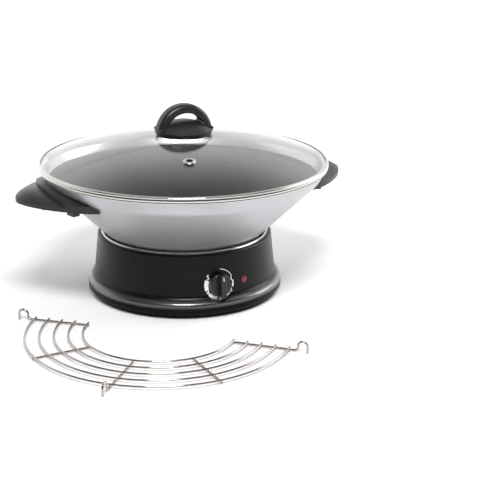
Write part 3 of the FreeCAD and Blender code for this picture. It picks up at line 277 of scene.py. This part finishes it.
class WokStudio(bpy.types.PropertyGroup):
    """The stage round the object."""

    floor_grey: colour("Floor", "f1f1f2", "Opal sheet under and behind the object")
    floor_size: length("Floor size", 26000.0, "Length of the sheet's side")
    floor_glow: FloatProperty(name="Floor glow", description="Light that comes up through the sheet",
                              default=0.14, min=0.0, max=2.0)
    lens: FloatProperty(name="Lens", description="Focal length of the camera", default=90.1,
                        min=10.0, max=300.0, subtype="DISTANCE_CAMERA")


# --- materials -------------------------------------------------------------------------------


def moulded_polypropylene(finishes):
    """Polypropylene from a spark-eroded mould: satin, with a fine grain that softens highlights."""

    def surface(tree, place):
        # Handling polishes the foot's shoulder: it shines more than the wall above and the edge below.
        height = component(tree, place, "Z")
        above = ramp(tree, height, SHOULDER_TOP + SHOULDER_FADE_UP, SHOULDER_TOP, 0.21, 1.0)
        below = ramp(tree, height, SHOULDER_LOW - SHOULDER_FADE_DOWN, SHOULDER_LOW, 0.1, 1.0)
        shine = maths(tree, "MULTIPLY", above, below)
        # Only the full polish carries the waxy film that hands leave on it.
        film = ramp(tree, shine, 0.3, 1.0)
        shader = add(tree, "BsdfPrincipled", {
            "Base Color": finishes.base_black, "IOR": 1.49, "Specular IOR Level": shine,
            "Coat Weight": film, "Coat IOR": 1.7, "Coat Roughness": 0.3,
            "Roughness": mottled(tree, place, 6.0, 0.28, 0.34),
            # The mould's grain is about 0.3 mm; it is drawn at 0.8 mm so that it still shows.
            "Normal": bumped(tree, place, 0.8, 0.008)})
        return shader.outputs[0]

    return new_material("moulded_polypropylene", surface)


def pressed_phenolic(finishes):
    """Compression-moulded phenolic: hard, dense black with a low sheen and faint flow marks."""

    def surface(tree, place):
        tone = mottled(tree, place, 9.0, 0.0, 1.0, 5.0)
        darker = toned(finishes.grip_black, 0.75)
        shader = add(tree, "BsdfPrincipled", {
            "Base Color": mixed_colour(tree, tone, darker, finishes.grip_black), "IOR": 1.6,
            "Specular IOR Level": 0.36,
            "Roughness": mottled(tree, place, 4.0, 0.33, 0.42),
            "Normal": bumped(tree, place, 1.2, 0.01)})
        return shader.outputs[0]

    return new_material("pressed_phenolic", surface)


def moulded_abs():
    """ABS control parts: a little glossier than the shell, with a smooth mould finish."""

    def surface(tree, place):
        shader = add(tree, "BsdfPrincipled", {
            "Base Color": srgb("161618"), "IOR": 1.53,
            "Roughness": mottled(tree, place, 3.0, 0.28, 0.36),
            "Normal": bumped(tree, place, 0.5, 0.006)})
        return shader.outputs[0]

    return new_material("moulded_abs", surface)


def foot_rubber():
    """Nitrile rubber: soft, dull and slightly dusty."""

    def surface(tree, place):
        tone = mottled(tree, place, 2.5, 0.0, 1.0, 4.0)
        shader = add(tree, "BsdfPrincipled", {
            "Base Color": mixed_colour(tree, tone, srgb("1d1d1d"), srgb("2b2a29")), "IOR": 1.52,
            "Roughness": mottled(tree, place, 2.0, 0.72, 0.85),
            "Normal": bumped(tree, place, 0.6, 0.02)})
        return shader.outputs[0]

    return new_material("nitrile_rubber", surface)


def inner_nylon():
    """Glass-filled nylon of the hidden electrical parts: off-black and matt."""

    def surface(tree, place):
        tone = mottled(tree, place, 1.5, 0.0, 1.0, 4.0)
        shader = add(tree, "BsdfPrincipled", {
            "Base Color": mixed_colour(tree, tone, srgb("2a2a28"), srgb("34332f")), "IOR": 1.53,
            "Roughness": mottled(tree, place, 1.5, 0.5, 0.62)})
        return shader.outputs[0]

    return new_material("glass_filled_nylon", surface)


def polished_stainless(finishes):
    """Stainless sheet polished round its length: bright, with faint lines along the rim."""

    def surface(tree, place):
        # Polishing lines run round the axis, so the pattern is squeezed in height only.
        lines = (0.15, 0.15, 4.0)
        shader = add(tree, "BsdfPrincipled", {
            "Base Color": finishes.steel, "Metallic": 1.0,
            "Roughness": mottled(tree, place, 2.0, 0.06, 0.11, 4.0, lines),
            "Normal": bumped(tree, place, 1.0, 0.004, 2.0, lines)})
        return shader.outputs[0]

    return new_material("polished_stainless", surface)


def rolled_stainless(finishes):
    """Bright-rolled stainless strip of the lid's rim."""

    def surface(tree, place):
        shader = add(tree, "BsdfPrincipled", {
            "Base Color": finishes.steel, "Metallic": 1.0,
            "Roughness": mottled(tree, place, 3.0, 0.09, 0.14, 4.0, (0.15, 0.15, 4.0))})
        return shader.outputs[0]

    return new_material("rolled_stainless", surface)


def zinc_plate():
    """Zinc-plated steel of screws and straps: pale, slightly cloudy grey."""

    def surface(tree, place):
        tone = mottled(tree, place, 1.5, 0.0, 1.0, 4.0)
        shader = add(tree, "BsdfPrincipled", {
            "Base Color": mixed_colour(tree, tone, srgb("a9abab"), srgb("c6c8c6")), "Metallic": 1.0,
            "Roughness": mottled(tree, place, 1.0, 0.28, 0.42)})
        return shader.outputs[0]

    return new_material("zinc_plated_steel", surface)


def aluminised_sheet():
    """Hot-dip aluminised sheet: a matt spangle of small grey crystals."""

    def surface(tree, place):
        cells = add(tree, "TexVoronoi", {"Vector": place, "Scale": 1.0 / (4.0 * MM)})
        tone = add(tree, "SeparateColor", {"Color": cells.outputs["Color"]}).outputs[0]
        shader = add(tree, "BsdfPrincipled", {
            "Base Color": mixed_colour(tree, tone, srgb("8f9192"), srgb("b1b3b3")), "Metallic": 1.0,
            "Roughness": mottled(tree, place, 3.0, 0.38, 0.5)})
        return shader.outputs[0]

    return new_material("aluminised_sheet", surface)


def turned_aluminium():
    """Die-cast aluminium faced on a lathe: rings 0.4 mm apart, drawn 1 mm apart so they show."""

    def surface(tree, place):
        rings = add(tree, "TexWave", {"Vector": place, "Scale": 1.0 / (20.0 * MM), "Distortion": 0.4,
                                      "Detail": 1.0}, wave_type="RINGS", rings_direction="Z")
        bump = add(tree, "Bump", {"Height": rings.outputs[1], "Distance": 0.02 * MM})
        shader = add(tree, "BsdfPrincipled", {
            "Base Color": srgb("b8babb"), "Metallic": 1.0,
            "Roughness": mottled(tree, place, 4.0, 0.3, 0.42), "Normal": bump.outputs[0]})
        return shader.outputs[0]

    return new_material("turned_aluminium", surface)


def oxidised_sheath():
    """Heater tube after its first heats: dark straw to blue-grey oxide."""

    def surface(tree, place):
        tone = mottled(tree, place, 8.0, 0.0, 1.0, 4.0)
        shader = add(tree, "BsdfPrincipled", {
            "Base Color": mixed_colour(tree, tone, srgb("4a4540"), srgb("5a5c62")), "Metallic": 1.0,
            "Roughness": mottled(tree, place, 2.0, 0.45, 0.6)})
        return shader.outputs[0]

    return new_material("oxidised_heater_sheath", surface)


def lacquered_pan(finishes):
    """Aluminium pan: silver lacquer outside, grey non-stick inside, bare metal round the mouth, and a
    painted shadow in the coat's grey on the outside of the lip, under the lid's rim.

    A face belongs to the inside where its normal turns up and inwards more than down and outwards.
    """

    def surface(tree, place):
        normal = add(tree, "NewGeometry").outputs["Normal"]
        level = add(tree, "VectorMath", {0: place, 1: (1.0, 1.0, 0.0)}, operation="MULTIPLY")
        outward = add(tree, "VectorMath", {0: level.outputs[0]}, operation="NORMALIZE").outputs[0]
        turned = maths(tree, "SUBTRACT", component(tree, normal, "Z"), along(tree, normal, outward))
        inside = maths(tree, "GREATER_THAN", turned, 0.0)
        outside = maths(tree, "SUBTRACT", 1.0, inside)
        height = component(tree, place, "Z")
        in_collar = maths(tree, "GREATER_THAN", height, PAN_COLLAR_FOOT)
        above_line = maths(tree, "GREATER_THAN", height, PAN_LINE_FOOT)
        # Above the bright line the outside is painted in the coat's dark grey, as a painted shadow of the
        # gap under the lid's rim. One bright line of bare metal stays under it.
        painted_shadow_band = maths(tree, "GREATER_THAN", height, PAN_LINE_TOP)
        coat_and_painted_shadow = maths(tree, "MAXIMUM", inside, maths(tree, "MULTIPLY", painted_shadow_band, outside))
        line = maths(tree, "SUBTRACT", above_line, painted_shadow_band)
        bare = maths(tree, "MAXIMUM", maths(tree, "MULTIPLY", inside, in_collar),
                     maths(tree, "MULTIPLY", line, outside))
        # The lacquer carries aluminium flakes of about 0.05 mm; they show as a soft mottle.
        flakes = mottled(tree, place, 1.4, 0.0, 1.0, 4.0)
        lacquer = mixed_colour(tree, flakes, toned(finishes.pan_silver, 0.9), finishes.pan_silver)
        specks = mottled(tree, place, 1.0, 0.0, 1.0, 6.0)
        coat = mixed_colour(tree, specks, finishes.pan_grey, toned(finishes.pan_grey, 1.15))
        # The coat's grey goes inside and on the painted shadow outside; the lacquer goes everywhere else.
        covered = mixed_colour(tree, coat_and_painted_shadow, lacquer, coat)
        rough = mixed_number(tree, bare, ramp(tree, coat_and_painted_shadow, 0.0, 1.0, 0.36, 0.46), 0.22)
        metal = mixed_number(tree, bare, ramp(tree, coat_and_painted_shadow, 0.0, 1.0, 0.8, 0.1), 1.0)
        shader = add(tree, "BsdfPrincipled", {
            "Base Color": mixed_colour(tree, bare, covered, finishes.pan_rim), "Metallic": metal,
            "Roughness": rough, "Normal": bumped(tree, place, 0.9, 0.006)})
        return shader.outputs[0]

    return new_material("lacquered_and_coated_aluminium", surface)


def lid_glass_material():
    """Tempered soda-lime glass: clear, faintly green, lets lamps through to the pan."""

    def surface(tree, place):
        glass = add(tree, "BsdfPrincipled", {
            "Base Color": srgb("fafbfa"), "IOR": 1.52, "Transmission Weight": 1.0,
            "Roughness": mottled(tree, place, 30.0, 0.0, 0.012)})
        through = add(tree, "BsdfTransparent", {"Color": srgb("f0f3f1")})
        shadow = add(tree, "LightPath").outputs["Is Shadow Ray"]
        both = add(tree, "MixShader", {0: shadow, 1: glass.outputs[0], 2: through.outputs[0]})
        return both.outputs[0]

    return new_material("tempered_glass", surface)


def red_acrylic(finishes):
    """Moulded acrylic lens: deep red body with a glossy skin."""

    def surface(tree, place):
        shader = add(tree, "BsdfPrincipled", {
            "Base Color": finishes.lamp_red, "IOR": 1.49, "Transmission Weight": 0.25,
            "Roughness": mottled(tree, place, 1.5, 0.12, 0.2),
            "Emission Color": finishes.lamp_red, "Emission Strength": 0.12})
        return shader.outputs[0]

    return new_material("red_acrylic", surface)


def plated_wire(finishes):
    """Drawn wire, nickel and chrome plated: mirror-bright with slight drawing streaks."""

    def surface(tree, place):
        shader = add(tree, "BsdfPrincipled", {
            "Base Color": finishes.chrome, "Metallic": 1.0,
            "Roughness": mottled(tree, place, 5.0, 0.08, 0.18, 4.0)})
        return shader.outputs[0]

    return new_material("chrome_plated_wire", surface)


def pad_printed_ink(finishes):
    """Pad-printed two-part ink: opaque, matt white, a little uneven in tone."""

    def surface(tree, place):
        tone = mottled(tree, place, 0.6, 0.0, 1.0, 3.0)
        greyer = toned(finishes.print_white, 0.96)
        shader = add(tree, "BsdfPrincipled", {
            "Base Color": mixed_colour(tree, tone, greyer, finishes.print_white), "IOR": 1.5,
            "Roughness": mottled(tree, place, 1.0, 0.5, 0.6)})
        return shader.outputs[0]

    return new_material("pad_printed_ink", surface)


# --- places ----------------------------------------------------------------------------------

# The foot's polished shoulder, from the floor up, and how far its shine fades on each side.
SHOULDER_LOW = 17.0 * MM
SHOULDER_TOP = 21.0 * MM
SHOULDER_FADE_DOWN = 4.0 * MM
SHOULDER_FADE_UP = 2.5 * MM

# Bands of the pan, down from its lip: a painted shadow outside, the bright line under it, and the bare
# collar inside.
PAN_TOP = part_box("wok_pan")[1][2]
PAN_LINE_TOP = PAN_TOP - 0.9 * MM
PAN_LINE_FOOT = PAN_TOP - 1.9 * MM
PAN_COLLAR_FOOT = PAN_TOP - 14.9 * MM

# The dial lies on the land of the base's wall, square to the knob's axis.
KNOB_JOINT = next(joint for joint in frame["record"]["behaviour"]["joints"] if joint["name"] == "knob_turn")
DIAL_CENTRE = Vector(KNOB_JOINT["pos_m"])
OUT_OF_WALL = Vector(KNOB_JOINT["axis"]).normalized()
ACROSS_WALL = Vector((1.0, 0.0, 0.0))
UP_THE_WALL = OUT_OF_WALL.cross(ACROSS_WALL)
LAND_LIFT = 0.2 * MM

# Clock angles in degrees of the scale's printed stretches, and of the digits between them.
SCALE_ARCS = ((5, 61), (80, 106), (133, 163), (190, 229), (248, 292))
DIGIT_ANGLES = (70, 119, 177, 239, 305)
ARC_STEP = 2
CAPITAL_SHARE = 0.7  # a digit's height as a share of the font's size
STROKE_GAIN = 0.012  # how far a digit's outline grows, as a share of its height

# The pointer is a bar along the knob's grip, its middle above the knob's axis.
GRIP_TOP = 16.78 * MM
POINTER_RISE = 9.0 * MM
POINTER_HALF_LENGTH = 2.6 * MM
POINTER_HALF_WIDTH = 0.4 * MM
POINTER_END_HALF_WIDTH = 0.05 * MM
POINTER_THICKNESS = 0.1 * MM

# The rim's section as distances in from its outer radius and up from its foot:
# skirt, flange, lower bead, groove, upper fold, then the channel inside.
RIM_SECTION = np.array([
    (8.6, 0.0), (7.8, 0.0), (7.8, 5.0), (0.5, 5.0), (0.17, 5.1), (0.02, 5.4), (0.02, 6.9),
    (0.12, 7.2), (0.5, 8.8), (0.48, 9.1), (0.4, 9.5), (0.45, 9.9), (0.65, 10.3), (1.0, 10.6),
    (1.6, 10.9), (3.4, 11.3), (3.4, 10.5), (1.4, 10.0), (0.9, 9.5), (0.8, 5.8), (8.6, 5.8)]) * MM
RIM_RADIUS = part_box("lid_rim")[1][0]
RIM_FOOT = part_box("lid_rim")[0][2]

# The rack's wires are arcs about one centre, and its bars are spokes. A weld sits on a bar's top.
RACK_CENTRE = (-86.3 * MM, -143.6 * MM)
RACK_RADII = (89.5 + 16.5 * np.arange(5)) * MM
RACK_ANGLES = np.radians(-129.8 + 44.3 * np.arange(-2, 3))
WELD_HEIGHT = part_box("rack_bar_2")[1][2]
WELD_HALF_WIDTH = 1.6 * MM
WELD_HALF_HEIGHT = 1.0 * MM

# The camera stands in front and to the left. The room is bright on the side that it looks towards.
CAMERA_PLACE = (-0.5434, -1.4154, 0.5532)
CAMERA_FORWARD = Vector((0.3881, 0.8657, -0.3160)).normalized()
CAMERA_ROLL = math.radians(0.504)
TOWARDS_BACK = (0.41, 0.912, 0.0)

# The floor is flat to behind the object and then sweeps up: metres behind the axis, and its rise.
FLAT_END, SWEEP_START, SWEEP_END, SWEEP_RISE = 2.0, 2.2, 4.2, 2.4

LAMPS = (
    # name, place, width, height, power in watts, aimed at
    ("above_camera", (-0.44, -1.3, 1.85), 0.75, 0.45, 40.0, (0.0, 0.0, 0.05)),
    ("right_side", (2.3, -0.1, 1.1), 1.6, 1.3, 26.0, (0.0, 0.0, 0.1)),
    ("left_side", (-2.2, 1.0, 1.2), 1.4, 1.2, 3.0, (0.0, 0.0, 0.1)),
    ("overhead", (0.1, 0.3, 2.6), 2.4, 1.6, 9.0, (0.0, 0.0, 0.0)),
)


def on_dial(across, up, out):
    """Points on the dial's plane from arrays of distances across, up and out of the land."""
    across, up, out = np.broadcast_arrays(across, up, out)
    axes = np.array([ACROSS_WALL, UP_THE_WALL, OUT_OF_WALL])
    return np.array(DIAL_CENTRE) + np.stack([across, up, out + LAND_LIFT], -1) @ axes


def scale_arc(start, end, dial):
    """A stretch of the printed scale between two clock angles in degrees.

    Point on ring i and corner k: radius is the outer radius, or that less a width which stays thin
    over the first arc and then grows in proportion to the angle; across = radius * sin(angle) and
    up = radius * cos(angle).
    """
    first, last = SCALE_ARCS[0][1], SCALE_ARCS[-1][1]
    steps = np.linspace(start, end, max(6, int((end - start) / ARC_STEP)))
    grown = np.clip((steps - first) / (last - first), 0.0, 1.0)
    width = dial.thin + (dial.thick - dial.thin) * grown
    angle = np.radians(steps)[:, None]
    inner = (dial.outer_radius - width)[:, None]
    outer = np.full_like(inner, dial.outer_radius)
    radius = np.concatenate([inner, outer, outer, inner], 1)
    out = np.array([0.0, 0.0, dial.print_height, dial.print_height])[None, :]
    return on_dial(radius * np.sin(angle), radius * np.cos(angle), out)


# --- operators -------------------------------------------------------------------------------


class WOK_OT_base(bpy.types.Operator):
    """Finish the base, its feet, rings and hidden parts"""

    bl_idname = "wok.base"
    bl_label = "Base"

    def execute(self, context):
        finishes = context.scene.wok_finishes
        finish(moulded_polypropylene(finishes), "base_shell", "base_plate", "cord_gland")
        finish(foot_rubber(), *numbered("rubber_foot", 4))
        zinc = shared("zinc_plated_steel", zinc_plate)
        finish(zinc, "thermostat_nut", *numbered("base_screw", 4), *numbered("hot_plate_stud", 3))
        finish(shared("polished_stainless", polished_stainless, finishes), "trim_ring")
        finish(aluminised_sheet(), "heat_shield")
        finish(turned_aluminium(), "hot_plate")
        finish(oxidised_sheath(), "heating_element")
        finish(inner_nylon(), "thermostat_body", "lamp_holder", "gland_nut", "terminal_block")
        finish(red_acrylic(finishes), "lamp_lens")
        return {"FINISHED"}


class WOK_OT_dial(bpy.types.Operator):
    """Print the temperature scale and its digits round the knob"""

    bl_idname = "wok.dial"
    bl_label = "Dial print"

    def execute(self, context):
        dial = context.scene.wok_dial
        ink = shared("pad_printed_ink", pad_printed_ink, context.scene.wok_finishes)
        points, faces = tubes([scale_arc(start, end, dial) for start, end in SCALE_ARCS])
        mesh_piece("dial_scale", points, faces, ink, "base", smooth=False)
        for index, angle in enumerate(DIGIT_ANGLES[:dial.digits], start=1):
            self.print_digit(str(index), math.radians(angle), dial, ink)
        return {"FINISHED"}

    def print_digit(self, text, angle, dial, ink):
        """Turns a text into a mesh and lays it on the land, upright and centred at a clock angle."""
        name = "dial_digit_" + text
        curve = bpy.data.curves.new(name, "FONT")
        curve.body = text
        curve.size = dial.digit_height / CAPITAL_SHARE
        curve.extrude = dial.print_height / 2
        curve.offset = STROKE_GAIN * dial.digit_height
        curve.align_x, curve.align_y = "CENTER", "CENTER"
        writer = placed("writer", curve)
        bpy.context.view_layer.update()
        mesh = bpy.data.meshes.new_from_object(writer.evaluated_get(bpy.context.evaluated_depsgraph_get()))
        bpy.data.objects.remove(writer)
        mesh.name = name
        flat = np.zeros(len(mesh.vertices) * 3)
        mesh.vertices.foreach_get("co", flat)
        flat = flat.reshape(-1, 3)
        flat = flat - (flat.min(0) + flat.max(0)) / 2
        across = flat[:, 0] + dial.digit_radius * math.sin(angle)
        up = flat[:, 1] + dial.digit_radius * math.cos(angle)
        mesh.vertices.foreach_set("co", on_dial(across, up, flat[:, 2] + dial.print_height / 2).ravel())
        mesh.update()
        mesh.materials.clear()
        mesh.materials.append(ink)
        piece = placed(name, mesh)
        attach(piece, "base")


class WOK_OT_knob(bpy.types.Operator):
    """Finish the control knob and mark its grip with a pointer line"""

    bl_idname = "wok.knob"
    bl_label = "Control knob"

    def execute(self, context):
        finish(moulded_abs(), "control_knob")
        finish(shared("zinc_plated_steel", zinc_plate), "thermostat_shaft")
        ink = shared("pad_printed_ink", pad_printed_ink, context.scene.wok_finishes)
        points, faces = tubes([self.pointer()])
        mesh_piece("knob_pointer", points, faces, ink, "knob", smooth=False)
        return {"FINISHED"}

    def pointer(self):
        """A bar along the grip with softly rounded ends, as rings of four corners.

        Half-width at t from -1 to 1 along the bar: end + half * sqrt(1 - abs(t) ** 8).
        """
        step = np.linspace(-1.0, 1.0, 15)
        swell = np.sqrt(np.clip(1.0 - np.abs(step) ** 8, 0.0, 1.0))
        half = POINTER_END_HALF_WIDTH + POINTER_HALF_WIDTH * swell
        across = half[:, None] * np.array([-1.0, 1.0, 1.0, -1.0])
        up = (POINTER_RISE + step * POINTER_HALF_LENGTH)[:, None]
        out = np.array([0.0, 0.0, 1.0, 1.0]) * POINTER_THICKNESS + GRIP_TOP - LAND_LIFT
        return on_dial(across, up, out[None, :])


class WOK_OT_pan(bpy.types.Operator):
    """Coat the pan and finish its handles"""

    bl_idname = "wok.pan"
    bl_label = "Pan and handles"

    def execute(self, context):
        finishes = context.scene.wok_finishes
        finish(lacquered_pan(finishes), "wok_pan")
        finish(shared("pressed_phenolic", pressed_phenolic, finishes), "handle_right", "handle_left")
        zinc = shared("zinc_plated_steel", zinc_plate)
        for side in ("right", "left"):
            finish(zinc, "handle_bracket_" + side, "handle_screw_" + side)
        return {"FINISHED"}


class WOK_OT_lid(bpy.types.Operator):
    """Finish the glass lid, its knob and vent, and roll its rim with a bead, a groove and a fold"""

    bl_idname = "wok.lid"
    bl_label = "Lid"

    def execute(self, context):
        finishes = context.scene.wok_finishes
        finish(lid_glass_material(), "lid_glass")
        profile = np.array([RIM_RADIUS, RIM_FOOT]) + RIM_SECTION * np.array([-1.0, 1.0])
        rim = lathe("lid_rim_rolled", profile, rolled_stainless(finishes), "lid")
        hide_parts("lid_rim")
        finish(shared("polished_stainless", polished_stainless, finishes), "vent_grommet")
        finish(shared("pressed_phenolic", pressed_phenolic, finishes), "lid_knob_disc", "lid_knob_arch")
        finish(shared("zinc_plated_steel", zinc_plate), "lid_knob_screw", "lid_knob_washer")
        return {"FINISHED"}


class WOK_OT_rack(bpy.types.Operator):
    """Plate the draining rack and bead the welds where its wires cross its bars"""

    bl_idname = "wok.rack"
    bl_label = "Draining rack"

    def execute(self, context):
        plating = plated_wire(context.scene.wok_finishes)
        finish(plating, *numbered("rack_wire", 5), *numbered("rack_bar", 5))
        points, faces = tubes([self.bead(radius, angle) for radius in RACK_RADII for angle in RACK_ANGLES])
        mesh_piece("rack_weld_beads", points, faces, plating, "rack")
        return {"FINISHED"}

    def bead(self, radius, angle):
        """A small lens of weld metal at a crossing, given by its polar place about the rack's centre.

        Ring at slope b: level radius = half-width * cos(b), height = middle + half-height * sin(b),
        with b from just over -90 to just under 90 degrees.
        """
        slope = np.radians(np.linspace(-80.0, 80.0, 7))[:, None]
        turn = np.linspace(0.0, 2 * math.pi, 12, endpoint=False)[None, :]
        level = WELD_HALF_WIDTH * np.cos(slope)
        height = WELD_HEIGHT + WELD_HALF_HEIGHT * np.sin(slope)
        x = RACK_CENTRE[0] + radius * math.cos(angle) + level * np.cos(turn)
        y = RACK_CENTRE[1] + radius * math.sin(angle) + level * np.sin(turn)
        return np.stack(np.broadcast_arrays(x, y, height), -1)


class WOK_OT_stage(bpy.types.Operator):
    """Lay the floor, set the lamps and the camera"""

    bl_idname = "wok.stage"
    bl_label = "Studio"

    def execute(self, context):
        studio = context.scene.wok_studio
        self.lay_floor(studio)
        self.light_world(context.scene)
        for name, place, width, height, power, target in LAMPS:
            lamp = bpy.data.lights.new(name, "AREA")
            lamp.shape = "RECTANGLE"
            lamp.size, lamp.size_y = width, height
            lamp.energy = power
            holder = placed(name, lamp)
            holder.location = place
            aim = Vector(target) - Vector(place)
            holder.rotation_euler = aim.to_track_quat("-Z", "Y").to_euler()
        self.set_camera(context.scene, studio)
        return {"FINISHED"}

    def lay_floor(self, studio):
        """Opal sheet: flat to behind the object, then rising in a smooth sweep.

        Height = rise * s * s * (3 - 2 * s), where s goes from 0 to 1 over the sweep.
        """
        half = studio.floor_size / 2
        side = np.linspace(-half, half, 5)
        flat = np.linspace(-half, FLAT_END, 20)
        depth = np.concatenate([flat, np.linspace(SWEEP_START, SWEEP_END, 41), [half]])
        s = np.clip((depth - SWEEP_START) / (SWEEP_END - SWEEP_START), 0.0, 1.0)
        height = SWEEP_RISE * s * s * (3 - 2 * s)
        points = np.stack(np.broadcast_arrays(side[None, :], depth[:, None], height[:, None]), -1)
        quads = grid_quads(len(depth), len(side))

        def surface(tree, place):
            # Lit from below, faintly in front of the object and fully behind it.
            back = along(tree, place, TOWARDS_BACK)
            near = ramp(tree, back, -1.2, -0.3, 0.04, studio.floor_glow)
            far = ramp(tree, back, 0.1, 1.5, 0.0, 0.6)
            return add(tree, "BsdfPrincipled", {
                "Base Color": studio.floor_grey, "IOR": 1.3, "Specular IOR Level": 0.2,
                "Emission Color": srgb("ffffff"), "Emission Strength": maths(tree, "ADD", near, far),
                "Roughness": mottled(tree, place, 40.0, 0.75, 0.85)}).outputs[0]

        sheet = new_material("opal_acrylic_sheet", surface)
        floor = placed("opal_sweep", new_mesh("opal_sweep", points.reshape(-1, 3), quads.tolist(), sheet))

    def light_world(self, scene):
        """A room that is bright behind the object and dim above it and on the camera's side."""
        world = bpy.data.worlds.new("soft_room")
        world.use_nodes = True
        tree = world.node_tree
        tree.nodes.clear()
        direction = add(tree, "TexCoord").outputs["Generated"]
        back = ramp(tree, along(tree, direction, TOWARDS_BACK), -0.3, 0.5, interpolation_type="SMOOTHSTEP")
        low = ramp(tree, component(tree, direction, "Z"), 0.86, 0.5, interpolation_type="SMOOTHSTEP")
        # Apart from the bright back wall, the room is a little lighter behind than in front.
        dim = ramp(tree, back, 0.0, 1.0, 0.08, 0.17)
        glow = ramp(tree, maths(tree, "MULTIPLY", back, low), 0.0, 1.0, dim, 1.1)
        light = add(tree, "Background", {"Color": srgb("ffffff"), "Strength": glow})
        add(tree, "OutputWorld", {"Surface": light.outputs[0]})
        scene.world = world

    def set_camera(self, scene, studio):
        """A camera at its place, turned to look along a direction with a slight roll."""
        camera = bpy.data.cameras.new("camera")
        camera.lens = studio.lens
        camera.sensor_width = 36.0
        camera.clip_end = 100.0
        right = CAMERA_FORWARD.cross(Vector((0.0, 0.0, 1.0))).normalized()
        up = right.cross(CAMERA_FORWARD)
        right_rolled = right * math.cos(CAMERA_ROLL) + up * math.sin(CAMERA_ROLL)
        up_rolled = up * math.cos(CAMERA_ROLL) - right * math.sin(CAMERA_ROLL)
        holder = placed("camera", camera)
        turned = Matrix((right_rolled, up_rolled, -CAMERA_FORWARD)).transposed().to_4x4()
        holder.matrix_world = Matrix.Translation(CAMERA_PLACE) @ turned
        scene.camera = holder
        scene.view_settings.view_transform = "Standard"


class WOK_PT_panel(bpy.types.Panel):
    """Sidebar panel with the settings and one button for each piece"""

    bl_idname = "WOK_PT_panel"
    bl_label = "Electric wok"
    bl_space_type = "VIEW_3D"
    bl_region_type = "UI"
    bl_category = "Wok"

    def draw(self, context):
        for settings in (context.scene.wok_finishes, context.scene.wok_dial, context.scene.wok_studio):
            box = self.layout.box()
            for name in settings.__annotations__:
                box.prop(settings, name)
        for operator in OPERATORS:
            self.layout.operator(operator.bl_idname)


OPERATORS = (WOK_OT_base, WOK_OT_dial, WOK_OT_knob, WOK_OT_pan, WOK_OT_lid, WOK_OT_rack, WOK_OT_stage)
SETTINGS = (("wok_finishes", WokFinishes), ("wok_dial", WokDial), ("wok_studio", WokStudio))


def register():
    for kind in (*[group for _, group in SETTINGS], *OPERATORS, WOK_PT_panel):
        bpy.utils.register_class(kind)
    for name, group in SETTINGS:
        setattr(bpy.types.Scene, name, PointerProperty(type=group))


def unregister():
    for name, _ in SETTINGS:
        delattr(bpy.types.Scene, name)
    for kind in reversed((*[group for _, group in SETTINGS], *OPERATORS, WOK_PT_panel)):
        bpy.utils.unregister_class(kind)


def main():
    register()
    bpy.ops.wok.base()
    bpy.ops.wok.dial()
    bpy.ops.wok.knob()
    bpy.ops.wok.pan()
    bpy.ops.wok.lid()
    bpy.ops.wok.rack()
    bpy.ops.wok.stage()


if __name__ == "__main__":
    main()
